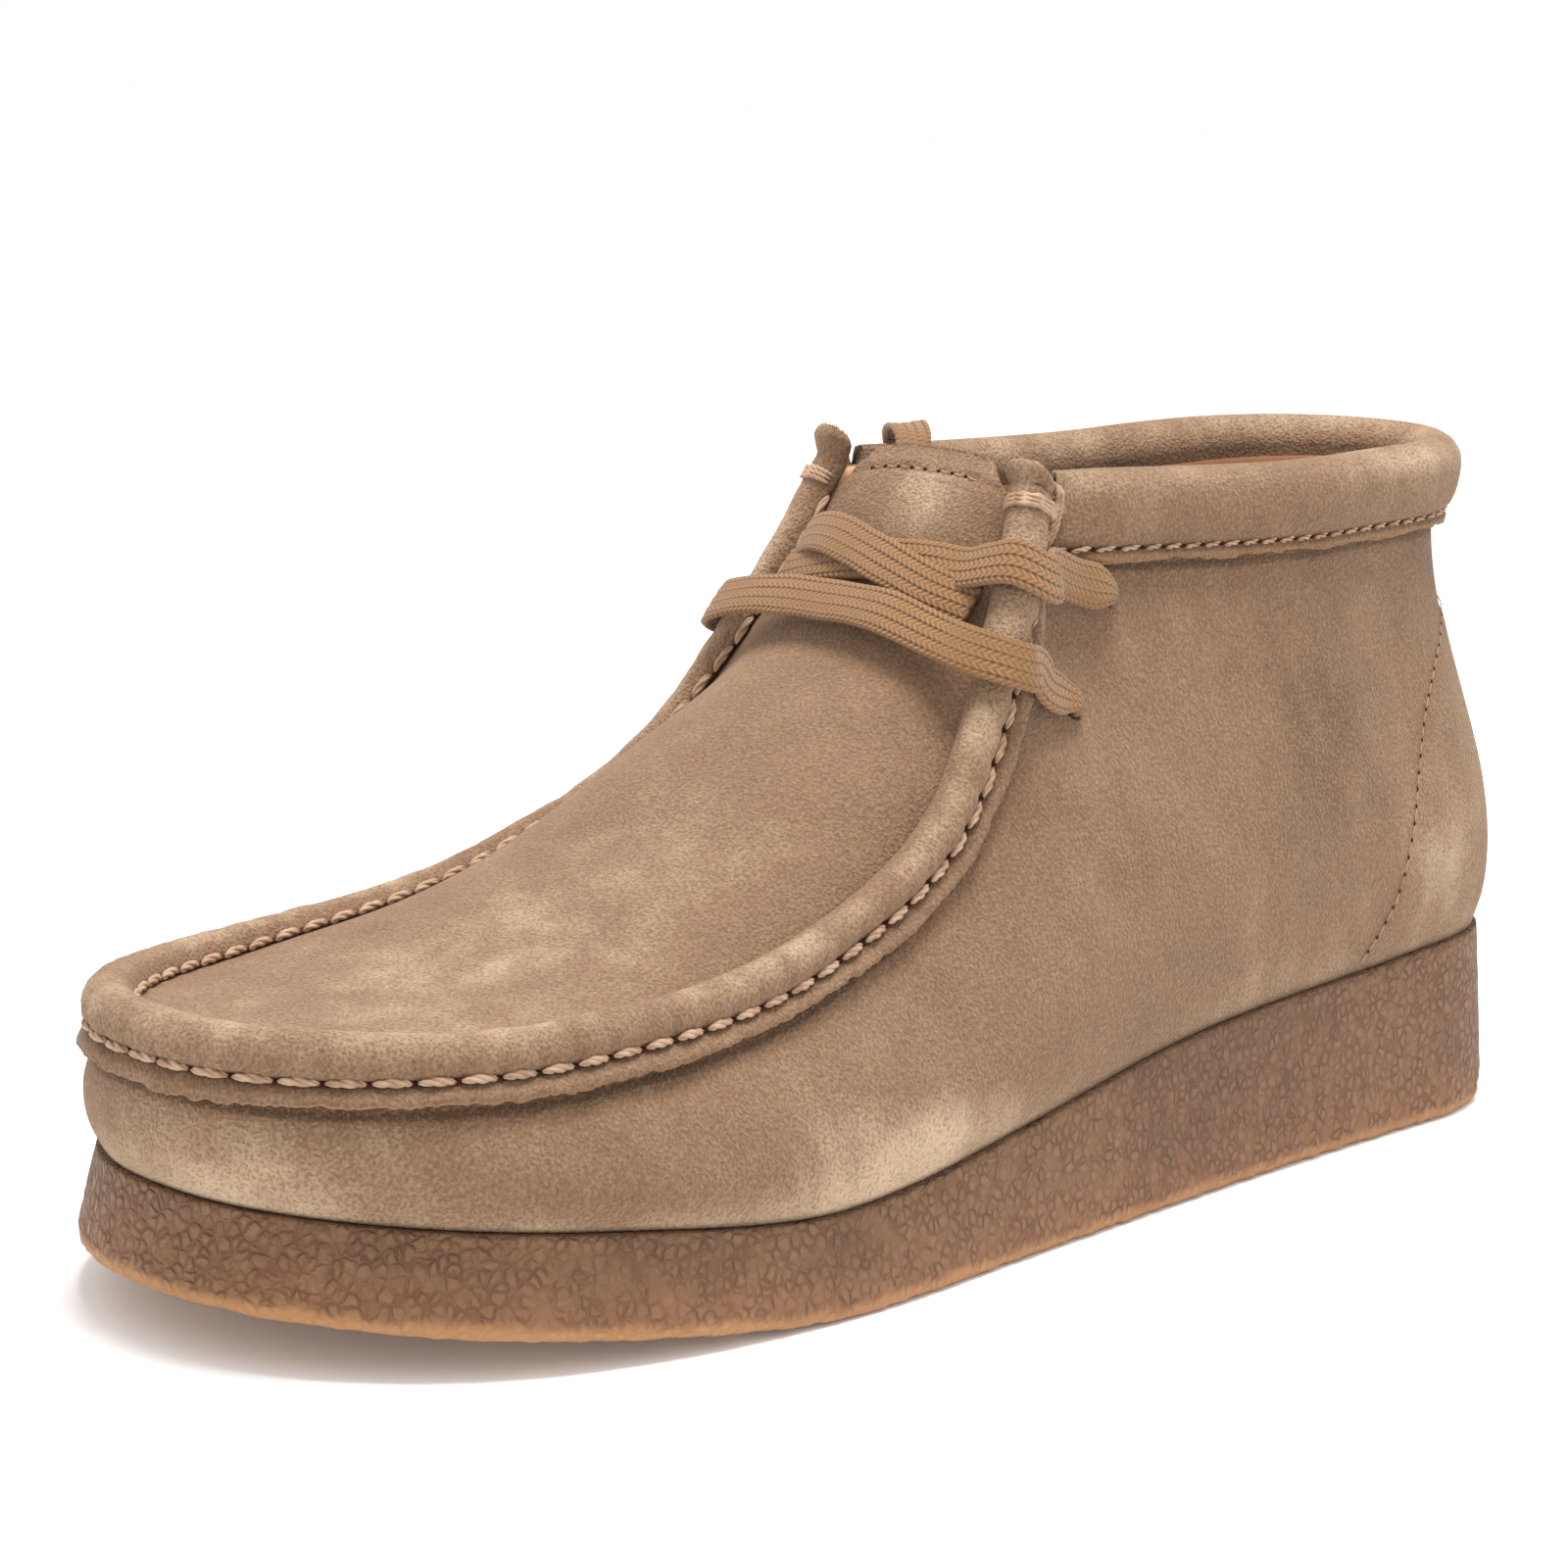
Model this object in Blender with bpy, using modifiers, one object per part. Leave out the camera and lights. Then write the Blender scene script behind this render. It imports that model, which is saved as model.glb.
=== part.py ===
"""Moccasin boot, left shoe: a soft suede upper with a rolled moccasin seam on a crepe wedge sole.

Metres, +Z up, toe towards -Y, outer side of the foot towards +X.
A rib is a line up the side of the boot. Its share runs from 0 at the back of the heel to 1 at the toe.
"""
import bmesh
import bpy
import numpy as np
from mathutils import Vector
from mathutils.bvhtree import BVHTree

# Driving dimensions
SOLE_LENGTH = 0.292
BALL_WIDTH = 0.108
HEEL_THICKNESS = 0.0325
FOREFOOT_THICKNESS = 0.0155
TOE_SPRING = 0.0085
SOLE_FLARE = 0.0025
COLLAR_HEIGHT = 0.1175
TOE_SEAM_HEIGHT = 0.0455
SWELL = 0.010
INSTEP_CROWN = 0.019
LEATHER = 0.0020
INSOLE_THICKNESS = 0.0040
TONGUE_THICKNESS = 0.0022
BEAD_WIDTH = 0.0070
BEAD_HEIGHT = 0.0046
FLANGE_WIDTH = 0.0042
FLANGE_THICKNESS = 0.0014
SEAM_STUB = 0.0065
COLLAR_BAND = 0.0122
COLLAR_PADDING = 0.0030
COLLAR_INSIDE = 0.0080
LACE_WIDTH = 0.0078
LACE_THICKNESS = 0.0015
EYELET_DIAMETER = 0.0045
GAP = 0.0003

# How far the wrap's foot line is set in from the sole's edge, the slit at each side of the tongue,
# and the room under the seam and the collar's roll, which follow the leather less closely than a flat face
INSET = LEATHER / 2
TONGUE_SLIT = LEATHER + 2 * GAP
SEAT = 2 * GAP

# Shape of the round ends of the outline: share of the length, and how square the curve is
HEEL_ROUND = 0.125
HEEL_POWER = 2.2
TOE_ROUND = 0.23
TOE_POWER = 2.35

# Where the collar meets the throat, and where the tongue leaves the toe leather
FACING = 0.42
THROAT = 0.532

# Spaces between ribs from the heel to the collar's end, on to the facing, the throat and the toe
RIB_COUNTS = (17, 2, 7, 25)
ROWS_UP = (0.0, 0.10, 0.22, 0.36, 0.50, 0.64, 0.78, 0.90, 1.0)
ROWS_ACROSS = (0.0, 0.06, 0.15, 0.27, 0.42, 0.58, 0.73, 0.85, 0.94, 1.0)

# Outline of the sole's top edge: share of the length, half widths as shares of the ball width
PLAN = np.array([
    # along, outer, inner
    [0.00, 0.350, 0.335],
    [0.15, 0.362, 0.334],
    [0.35, 0.398, 0.312],
    [0.55, 0.452, 0.400],
    [0.70, 0.489, 0.475],
    [0.83, 0.462, 0.475],
    [0.93, 0.430, 0.455],
    [1.00, 0.386, 0.395],
])

# Side of the sole: lift as a share of the toe spring, wedge as a share of heel less forefoot thickness
SOLE_SIDE = np.array([
    # along, lift, wedge
    [0.00, 0.18, 0.91],
    [0.05, 0.02, 0.99],
    [0.20, 0.00, 0.88],
    [0.40, 0.00, 0.66],
    [0.55, 0.00, 0.28],
    [0.62, 0.00, 0.12],
    [0.70, 0.00, 0.02],
    [0.85, 0.46, 0.00],
    [1.00, 1.00, -0.06],
])

# Edge of the sole from its top to its tread: share of the height, share of the flare
SOLE_EDGE = np.array([
    # down, out
    [0.00, 0.00],
    [0.35, 0.45],
    [0.70, 0.85],
    [0.90, 1.00],
    [1.00, 0.60],
])

# Top edge of the leather: rib, share of the length, half widths as shares of the ball width,
# rise as a share of the collar's height over the toe seam, swell and shoulder as shares of the swell
COLLAR = np.array([
    # rib, along, outer, inner, rise, swell, shoulder
    [0.00, 0.026, 0.226, 0.222, 1.012, 0.72, -0.80],
    [0.15, 0.158, 0.246, 0.250, 0.998, 0.95, -0.33],
    [0.28, 0.265, 0.246, 0.250, 0.985, 0.94, 0.00],
    [FACING, 0.454, 0.180, 0.214, 0.990, 0.95, 0.00],
])
SEAM = np.array([
    # rib, along, outer, inner, rise, swell, shoulder
    [FACING, 0.454, 0.180, 0.214, 0.990, 0.95, 0.00],
    [0.50, 0.493, 0.240, 0.240, 0.725, 0.95, 0.40],
    [0.58, 0.552, 0.292, 0.306, 0.354, 0.95, 0.60],
    [0.70, 0.677, 0.340, 0.348, 0.090, 0.75, 0.70],
    [0.85, 0.845, 0.356, 0.367, -0.010, 0.66, 0.50],
    [1.00, 1.000, 0.369, 0.374, 0.000, 0.59, 0.26],
])

# Height of the leather over the line between the two seams, as a share of the instep crown
CROWN = np.array([
    # rib, crown
    [FACING, 0.30],
    [0.46, 0.33],
    [0.50, 0.42],
    [0.54, 0.62],
    [0.58, 0.88],
    [0.63, 1.00],
    [0.70, 0.72],
    [0.78, 0.38],
    [0.86, 0.15],
    [0.93, 0.04],
    [1.00, 0.00],
])
CROWN_POWER = 3.0

# Section of the rolled seam, from the flange's raw edge up over the bead to its inner edge:
# across as a share of the bead width from the seam's line, over as a share of the bead height
BEAD_SECTION = np.array([
    # across, over
    [-0.42, 0.55],
    [-0.24, 0.88],
    [-0.02, 1.00],
    [0.20, 0.90],
    [0.38, 0.58],
    [0.47, 0.26],
])

# Section of the collar's roll round the leather's top edge. Outside the wall: down as a share of the band,
# out as a share of the padding. Inside the wall: down as a share of the inside, in as a share of the padding
COLLAR_OUTSIDE = np.array([
    # down, out
    [1.00, 0.45],
    [0.82, 0.52],
    [0.66, 0.90],
    [0.34, 1.08],
    [0.06, 0.98],
])
COLLAR_INSIDE_FACE = np.array([
    # down, in
    [-0.10, 0.80],
    [0.25, 1.05],
    [0.65, 0.95],
    [1.00, 0.30],
])
COLLAR_CROWN = 0.0032
COLLAR_LEAN = 0.012

# Tongue: rib, share of the throat's width that is left free at each side
TONGUE_EDGE = np.array([
    # rib, outer, inner
    [FACING, 0.15, 0.12],
    [0.436, 0.05, 0.05],
    [0.458, 0.01, 0.02],
    [0.49, 0.00, 0.00],
    [THROAT, 0.00, 0.00],
])

# Punched lace holes: rib, share of the way up the wall
EYELETS = np.array([
    # rib, up
    [0.428, 0.645],
    [0.384, 0.816],
])

# Routes of the flat lace over the leather. Girth is -1 to 0 up the outer wall, 0 to 1 across the plug and
# the tongue, and 1 to 2 down the inner wall. Over is the height above the leather as a share of the bead.
LOWER_BAR = np.array([
    # rib, girth, over
    [0.428, -0.355, 0.00],
    [0.452, -0.290, 0.20],
    [0.478, -0.215, 0.46],
    [0.500, -0.115, 0.86],
    [0.518, -0.035, 1.26],
    [0.530, 0.035, 1.22],
    [0.540, 0.150, 0.86],
    [0.543, 0.350, 0.68],
    [0.542, 0.560, 0.52],
    [0.540, 0.740, 0.66],
    [0.535, 0.870, 1.00],
    [0.528, 0.965, 1.26],
    [0.518, 1.030, 1.26],
    [0.498, 1.110, 0.86],
    [0.478, 1.200, 0.46],
    [0.452, 1.280, 0.20],
    [0.428, 1.355, 0.00],
])
UPPER_STRAND = np.array([
    # rib, girth, over
    [0.512, 0.110, 0.10],
    [0.519, 0.230, 0.30],
    [0.516, 0.400, 0.50],
    [0.508, 0.560, 0.52],
    [0.500, 0.700, 0.50],
    [0.494, 0.800, 0.36],
    [0.490, 0.880, 0.14],
])
UNDER_STRAND = np.array([
    # rib, girth, over
    [0.511, 0.880, 0.10],
    [0.514, 0.790, 0.12],
    [0.514, 0.655, 0.16],
    [0.510, 0.480, 0.18],
    [0.506, 0.300, 0.18],
    [0.500, 0.175, 0.24],
    [0.491, 0.085, 0.80],
    [0.481, 0.012, 1.26],
    [0.466, -0.040, 1.12],
    [0.440, -0.092, 0.76],
    [0.410, -0.157, 0.56],
    [0.384, -0.186, 0.02],
])

# Short end of lace over the inner side of the collar, from its bare end outside to the upper lace hole inside:
# rib, place out from the wall's middle, and up over the top edge or, below zero, down along the wall,
# as shares of the reach round the roll
LACE_END = np.array([
    # rib, out, up
    [0.352, 0.96, -2.40],
    [0.355, 1.00, -1.50],
    [0.358, 1.03, -0.60],
    [0.364, 0.98, 0.25],
    [0.374, 0.42, 0.90],
    [0.386, -0.45, 0.88],
    [0.396, -1.08, 0.35],
    [0.402, -1.30, -0.55],
    [0.403, -1.30, -1.40],
    [0.396, -1.15, -2.10],
    [0.386, -0.92, -2.70],
])


def spline(table, column, at):
    """Smooth curve through one column of a table, read at the places given."""
    place = table[:, 0]
    value = table[:, column]
    slope = np.gradient(value, place)
    at = np.asarray(at, dtype=float)
    row = np.clip(np.searchsorted(place, at) - 1, 0, len(place) - 2)
    width = place[row + 1] - place[row]
    t = (at - place[row]) / width
    start = (2 * t**3 - 3 * t**2 + 1) * value[row] + (t**3 - 2 * t**2 + t) * width * slope[row]
    end = (3 * t**2 - 2 * t**3) * value[row + 1] + (t**3 - t**2) * width * slope[row + 1]
    return start + end


def round_ends(rib):
    """Share of the full half width that is left near the round heel and toe."""
    heel = np.clip(1 - rib / HEEL_ROUND, 0, 1)
    toe = np.clip((rib - 1 + TOE_ROUND) / TOE_ROUND, 0, 1)
    at_heel = (1 - heel**HEEL_POWER) ** (1 / HEEL_POWER)
    at_toe = (1 - toe**TOE_POWER) ** (1 / TOE_POWER)
    return at_heel * at_toe


def between_sides(outer, inner, rib, side):
    """Place across the boot for half widths that close at heel and toe."""
    return (outer - inner) / 2 + side * (outer + inner) / 2 * round_ends(rib)


def along_to_y(along):
    return SOLE_LENGTH * (0.5 - along)


def outline(rib, side, grow):
    """Points of the sole's top outline, moved out by grow, and their outward directions."""
    step = 1e-4
    before = np.clip(rib - step, 0, 1)
    after = np.clip(rib + step, 0, 1)

    def across(at):
        outer = spline(PLAN, 1, at) * BALL_WIDTH
        inner = spline(PLAN, 2, at) * BALL_WIDTH
        return between_sides(outer, inner, at, side)

    normal_x = (along_to_y(before) - along_to_y(after)) * side
    normal_y = (across(after) - across(before)) * side
    normal = np.stack([normal_x, normal_y], axis=-1)
    normal[rib <= 0] = (0, 1)
    normal[rib >= 1] = (0, -1)
    normal /= np.linalg.norm(normal, axis=-1, keepdims=True)
    point = np.stack([across(rib), along_to_y(rib)], axis=-1)
    return point + normal * grow, normal


def tread_height(rib):
    return TOE_SPRING * np.maximum(spline(SOLE_SIDE, 1, rib), 0)


def sole_top_height(rib):
    wedge = (HEEL_THICKNESS - FOREFOOT_THICKNESS) * spline(SOLE_SIDE, 2, rib)
    return tread_height(rib) + FOREFOOT_THICKNESS + wedge


def edge_column(column, rib):
    """A column of the collar's table behind the facing and of the seam's table in front of it."""
    behind = spline(COLLAR, column, np.clip(rib, 0, FACING))
    front = spline(SEAM, column, np.clip(rib, FACING, 1))
    return np.where(rib <= FACING, behind, front)


def top_edge(rib, side):
    """Top edge of the leather wall: the collar, then the facing and the moccasin seam."""
    outer = edge_column(2, rib) * BALL_WIDTH
    inner = edge_column(3, rib) * BALL_WIDTH
    across = between_sides(outer, inner, rib, side)
    height = TOE_SEAM_HEIGHT + (COLLAR_HEIGHT - TOE_SEAM_HEIGHT) * edge_column(4, rib)
    return np.stack([across, along_to_y(edge_column(1, rib)), height], axis=-1)


def wall(rib, side, up):
    """Outer surface of the wrap: a Bezier curve up each rib from the sole to the top edge."""
    foot_line, normal = outline(rib, side, -INSET)
    foot = np.column_stack([foot_line, sole_top_height(rib) + GAP])
    outward = np.column_stack([normal, np.zeros(len(rib))])
    top = top_edge(rib, side)
    height = (top[:, 2] - foot[:, 2])[:, None] * np.array([[0, 0, 0.36]])
    low = foot + outward * (SWELL * edge_column(5, rib))[:, None] + height
    high = top + outward * (SWELL * edge_column(6, rib))[:, None] - height
    t = np.asarray(up, dtype=float).reshape(1, -1, 1)
    foot, low, high, top = (part[:, None, :] for part in (foot, low, high, top))
    return (1 - t) ** 3 * foot + 3 * (1 - t) ** 2 * t * low + 3 * (1 - t) * t**2 * high + t**3 * top


def plug(rib, across):
    """Leather between the two seams; across is 0 at the outer seam and 1 at the inner one."""
    outer = top_edge(rib, 1)[:, None, :]
    inner = top_edge(rib, -1)[:, None, :]
    crown = INSTEP_CROWN * spline(CROWN, 1, rib) * np.sqrt(round_ends(rib))
    w = np.asarray(across, dtype=float)
    w = np.broadcast_to(w, (len(rib), w.shape[-1]))[:, :, None]
    arch = 1 - np.abs(2 * w - 1) ** CROWN_POWER
    return (1 - w) * outer + w * inner + np.array([0, 0, 1]) * crown[:, None, None] * arch


def ribs_between(start, end, count):
    """Ribs at equal distances along the sole's outline."""
    fine = start + (end - start) * (1 - np.cos(np.pi * np.linspace(0, 1, 2001))) / 2
    outer = outline(fine, 1, 0)[0]
    inner = outline(fine, -1, 0)[0]
    half = (outer - inner) / 2
    half[:, 1] = outer[:, 1]
    run = np.concatenate([[0], np.cumsum(np.linalg.norm(np.diff(half, axis=0), axis=1))])
    return np.interp(np.linspace(0, run[-1], count + 1), run, fine)


def collar_end():
    """Rib where the collar's roll stops, clear of the seam's flange."""
    fine = np.linspace(0.2, FACING, 801)
    edge = top_edge(fine, 1)
    reach = np.linalg.norm(edge - edge[-1], axis=1)
    clear = SEAM_HALF + FLANGE_WIDTH + 6 * GAP
    return float(fine[np.argmin(np.abs(reach - clear))])


SEAM_HALF = -BEAD_SECTION[0, 0] * BEAD_WIDTH
STOPS = (0.0, collar_end(), FACING, THROAT, 1.0)
RIBS = np.concatenate(
    [ribs_between(a, b, n)[:-1] for a, b, n in zip(STOPS, STOPS[1:], RIB_COUNTS)] + [[1.0]]
)
TOE = len(RIBS) - 1
COLLAR_STOP = RIB_COUNTS[0]
FACING_STOP = COLLAR_STOP + RIB_COUNTS[1]
THROAT_STOP = FACING_STOP + RIB_COUNTS[2]

# All ribs in one loop: down the outer side to the toe and back up the inner side to the heel
LOOP = np.concatenate([RIBS, RIBS[-2:0:-1]])
SIDE = np.concatenate([np.ones(TOE + 1), -np.ones(TOE - 1)])
COUNT = len(LOOP)


def unit(vectors):
    return vectors / np.maximum(np.linalg.norm(vectors, axis=-1, keepdims=True), 1e-12)


def make_mesh(name, vertices, faces, material):
    mesh = bpy.data.meshes.new(name)
    mesh.from_pydata([tuple(v) for v in vertices], [], [tuple(int(i) for i in f) for f in faces])
    mesh.materials.append(material)
    piece = bpy.data.objects.new(name, mesh)
    BOOT.objects.link(piece)
    mesh.shade_smooth()
    return piece


def make_material(name, colour, roughness):
    material = bpy.data.materials.new(name)
    material.use_nodes = True
    shader = material.node_tree.nodes["Principled BSDF"]
    shader.inputs["Base Color"].default_value = (*colour, 1)
    shader.inputs["Roughness"].default_value = roughness
    shader.inputs["Metallic"].default_value = 0
    material.diffuse_color = (*colour, 1)
    return material


def close_outwards(piece):
    """Turns all faces of a closed piece to the outside."""
    form = bmesh.new()
    form.from_mesh(piece.data)
    bmesh.ops.recalc_face_normals(form, faces=form.faces)
    form.to_mesh(piece.data)
    form.free()
    return piece


def band_faces(rows, width, closed):
    """Quads between neighbouring rows of points."""
    faces = []
    for row in range(rows if closed else rows - 1):
        ahead = (row + 1) % rows
        for column in range(width - 1):
            a = row * width + column
            b = ahead * width + column
            faces.append((a, a + 1, b + 1, b))
    return faces


def swept_piece(name, sections, material, ring):
    """Closed piece from a list of closed sections that turn clockwise as the sweep comes on."""
    count = len(sections)
    width = len(sections[0])
    vertices = np.concatenate(sections)
    faces = []
    for row in range(count if ring else count - 1):
        ahead = (row + 1) % count
        for column in range(width):
            after = (column + 1) % width
            faces.append((row * width + column, row * width + after, ahead * width + after, ahead * width + column))
    if not ring:
        faces.append(tuple(range(width))[::-1])
        faces.append(tuple((count - 1) * width + column for column in range(width)))
    return close_outwards(make_mesh(name, vertices, faces, material))


def add_thickness(piece, thickness):
    shell = piece.modifiers.new("leather thickness", "SOLIDIFY")
    shell.thickness = thickness
    shell.offset = -1
    shell.use_even_offset = True
    shell.use_quality_normals = True


def slab(name, rings, material):
    """Closed flat piece from rings of points, the lowest ring last, with strips across its two faces."""
    vertices = np.concatenate(rings)
    faces = []
    for level in range(len(rings) - 1):
        for k in range(COUNT):
            after = (k + 1) % COUNT
            top = level * COUNT
            faces.append((top + k, top + COUNT + k, top + COUNT + after, top + after))
    for base, order in ((0, 1), ((len(rings) - 1) * COUNT, -1)):
        for k in range(TOE):
            outer = (base + k, base + k + 1)
            inner = (base + (COUNT - k) % COUNT, base + (COUNT - k - 1) % COUNT)
            strip = [outer[0], outer[1], inner[1], inner[0]]
            kept = [v for n, v in enumerate(strip) if v not in strip[:n]]
            faces.append(tuple(kept[::-order]))
    return close_outwards(make_mesh(name, vertices, faces, material))


def make_outsole():
    top = sole_top_height(LOOP)
    tread = tread_height(LOOP)
    rings = []
    for down, out in SOLE_EDGE:
        line = outline(LOOP, SIDE, SOLE_FLARE * out)[0]
        rings.append(np.column_stack([line, top + (tread - top) * down]))
    return slab("outsole", rings, make_material("crepe", (0.235, 0.145, 0.090), 0.75))


def make_insole():
    line = outline(LOOP, SIDE, -(INSET + LEATHER + 2 * GAP))[0]
    low = sole_top_height(LOOP) + GAP
    rings = [np.column_stack([line, low + INSOLE_THICKNESS]), np.column_stack([line, low])]
    return slab("insole", rings, make_material("footbed leather", (0.30, 0.19, 0.12), 0.8))


def make_upper():
    """Wrap and toe leather as one open surface, thickened inwards and punched for the lace."""
    rows = len(ROWS_UP)
    points = wall(LOOP, SIDE, ROWS_UP)
    vertices = [p for p in points.reshape(-1, 3)]
    faces = band_faces(COUNT, rows, True)
    covered = RIBS[THROAT_STOP:TOE]
    inner_rows = plug(covered, ROWS_ACROSS[1:-1])
    strips = []
    for n in range(len(covered)):
        k = THROAT_STOP + n
        start = len(vertices)
        vertices.extend(inner_rows[n])
        middle = list(range(start, start + len(ROWS_ACROSS) - 2))
        strips.append([k * rows + rows - 1] + middle + [(COUNT - k) * rows + rows - 1])
    for one, two in zip(strips, strips[1:]):
        for a, b, c, d in zip(one, one[1:], two[1:], two):
            faces.append((a, b, c, d))
    tip = TOE * rows + rows - 1
    for a, b in zip(strips[-1], strips[-1][1:]):
        faces.append((a, b, tip))
    upper = make_mesh("upper", vertices, faces, SUEDE)
    add_thickness(upper, LEATHER)
    for rib, up in EYELETS:
        for side in (1, -1):
            punch_hole(upper, rib, side, up)
    return upper


def wall_spot(rib, side, up):
    """A point on the outside of the wall, with its outward normal."""
    step = 0.004
    around = []
    for near in (rib - step, rib, rib + step):
        past = near < 0 or near > 1
        folded = abs(near) if near < 0.5 else 1 - abs(1 - near)
        around.append(wall(np.array([folded]), -side if past else side, (up - step, up, up + step))[0])
    along = around[2][1] - around[0][1]
    rise = around[1][2] - around[1][0]
    return around[1][1], unit(np.cross(rise, along)) * side


def plug_spot(rib, across):
    """A point on the plug or the tongue, with its outward normal."""
    step = 0.004
    around = plug(np.array([rib - step, rib, rib + step]), [across - step, across, across + step])
    along = around[2, 1] - around[0, 1]
    over = around[1, 2] - around[1, 0]
    return around[1, 1], unit(np.cross(over, along))


def girth_spot(rib, girth):
    if girth < 0:
        return wall_spot(rib, 1, 1 + girth)
    if girth > 1:
        return wall_spot(rib, -1, 2 - girth)
    return plug_spot(max(rib, FACING + 0.004), girth)


def up_from_top(rib, side, down):
    """Share up the wall at a distance down from its top edge."""
    near = wall(np.array([rib]), side, (0.97, 1.0))[0]
    return 1 - down * 0.03 / np.linalg.norm(near[1] - near[0])


def punch_hole(piece, rib, side, up):
    point, normal = wall_spot(rib, side, up)
    bpy.ops.mesh.primitive_cylinder_add(
        vertices=16, radius=EYELET_DIAMETER / 2, depth=6 * LEATHER, location=tuple(point)
    )
    cutter = bpy.context.object
    cutter.name = f"lace hole {len(CUTTERS.objects)}"
    cutter.rotation_euler = Vector(normal).to_track_quat("Z", "Y").to_euler()
    for home in cutter.users_collection:
        home.objects.unlink(cutter)
    CUTTERS.objects.link(cutter)
    cutter.hide_render = True
    cutter.display_type = "WIRE"
    hole = piece.modifiers.new(cutter.name, "BOOLEAN")
    hole.operation = "DIFFERENCE"
    hole.object = cutter


def make_tongue():
    """The plug's leather goes on up between the facings, with a slit to the wrap and round top corners."""
    near = plug(np.array([THROAT - 0.01, THROAT]), [0.5])
    share = 0.01 * 2 * GAP / np.linalg.norm(near[0] - near[1])
    ribs = np.linspace(FACING, THROAT - share, 11)
    outer = top_edge(ribs, 1)
    inner = top_edge(ribs, -1)
    slit = TONGUE_SLIT / np.linalg.norm(outer - inner, axis=1)
    first = slit + spline(TONGUE_EDGE, 1, ribs)
    last = 1 - slit - spline(TONGUE_EDGE, 2, ribs)
    share_across = np.linspace(0, 1, 9)
    across = first[:, None] + (last - first)[:, None] * share_across
    points = plug(ribs, across)
    faces = band_faces(len(ribs), len(share_across), False)
    tongue = make_mesh("tongue", points.reshape(-1, 3), faces, SUEDE)
    add_thickness(tongue, TONGUE_THICKNESS)
    return tongue


def plug_tree():
    """Fine surface of the plug and the tongue, carried on above the facing, to seat the seam on."""
    fine = np.linspace(FACING, 1.0, 160)
    across = np.linspace(0, 1, 61)
    points = plug(fine, across)
    above = points[0] + (points[0] - points[4]) * 3
    points = np.concatenate([above[None], points])
    faces = band_faces(len(points), len(across), False)
    return BVHTree.FromPolygons([Vector(p) for p in points.reshape(-1, 3)], faces)


def bead_contour():
    """Section of the seam: over the flange and the bead from its raw edge, and back underneath."""
    edge = -(SEAM_HALF + FLANGE_WIDTH)
    over = [(edge, SEAT), (edge, SEAT + FLANGE_THICKNESS), (-SEAM_HALF * 1.15, SEAT + FLANGE_THICKNESS)]
    over += [(across * BEAD_WIDTH, height * BEAD_HEIGHT) for across, height in BEAD_SECTION]
    reach = BEAD_SECTION[-1, 0] * BEAD_WIDTH
    under = [(reach, SEAT), (reach / 2, SEAT), (0, SEAT * 1.5), (-SEAM_HALF / 2, SEAT), (-SEAM_HALF, SEAT)]
    return over + under


def make_seam_roll():
    """Rolled moccasin seam with its flange, from the outer facing round the toe to the inner facing."""
    tree = plug_tree()
    stops = np.arange(FACING_STOP, COUNT - FACING_STOP + 1)
    line = top_edge(LOOP[stops], SIDE[stops])
    tangent = unit(np.gradient(line, axis=0))
    sections = []
    for n, k in enumerate(stops):
        normal = wall_spot(LOOP[k], SIDE[k], 0.99)[1]
        inward = plug_direction(tree, line[n], tangent[n], normal)
        upward = unit(np.cross(inward, tangent[n]))
        away = unit(np.cross(tangent[n], normal))
        away = -away if away[2] > 0 else away
        section = [seat(tree, line[n], spot, LOOP[k], SIDE[k], away, inward, upward) for spot in bead_contour()]
        sections.append(np.array(section))
    sections = stub(sections[0]) + sections + stub(sections[-1])[::-1]
    return swept_piece("seam_roll", sections, SUEDE, False)


def stub(last):
    """Rounded end that stands up past the facing's top: two more sections, drawn in to the bead's outer face."""
    ahead = np.array([0, 0, SEAM_STUB])
    heart = last[2:5].mean(axis=0)
    return [heart + (last - heart) * 0.65 + ahead, heart + (last - heart) * 0.95 + ahead * 0.7]


def plug_direction(tree, point, tangent, wall_normal):
    """Direction from the seam inwards over the plug, square to the seam."""
    inward = unit(-wall_normal + np.dot(wall_normal, tangent) * tangent)
    start = Vector(point + inward * BEAD_WIDTH / 2 + np.array([0, 0, BEAD_WIDTH * 3]))
    spot = tree.ray_cast(start, Vector((0, 0, -1)))[0]
    if spot is None:
        return inward
    toward = np.array(spot) - point
    return unit(toward - np.dot(toward, tangent) * tangent)


def wall_near(aim, rib, side, up):
    """The wall's point nearest to an aim, with its outward normal, found in steps from a first guess."""
    step = 0.002
    place = np.array([rib, up])
    for _ in range(8):
        here = wall_spot(place[0], side, place[1])[0]
        along = (wall_spot(place[0] + step, side, place[1])[0] - here) / step
        rise = (wall_spot(place[0], side, place[1] + step)[0] - here) / step
        move = np.linalg.lstsq(np.column_stack([along, rise]), aim - here, rcond=None)[0]
        place = place + np.clip(move, -0.01, 0.01)
        place[1] = min(place[1], 1.0)
    return wall_spot(place[0], side, place[1])


def seat(tree, point, spot, rib, side, away, inward, upward):
    """A point of the seam's section: across from the seam's line and over the leather below it."""
    across, over = spot
    blend = np.clip((across + SEAM_HALF) / (2 * SEAM_HALF), 0, 1)
    blend = blend * blend * (3 - 2 * blend)
    if across < 0:
        base, normal = wall_near(point - away * across, rib, side, up_from_top(rib, side, -across))
    else:
        base = point + inward * across
        normal = wall_spot(rib, side, 0.99)[1]
        hit = tree.ray_cast(Vector(base + upward * BEAD_WIDTH), Vector(-upward))[0]
        if hit is not None:
            base = np.array(hit)
    return base + unit((1 - blend) * normal + blend * upward) * over


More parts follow.
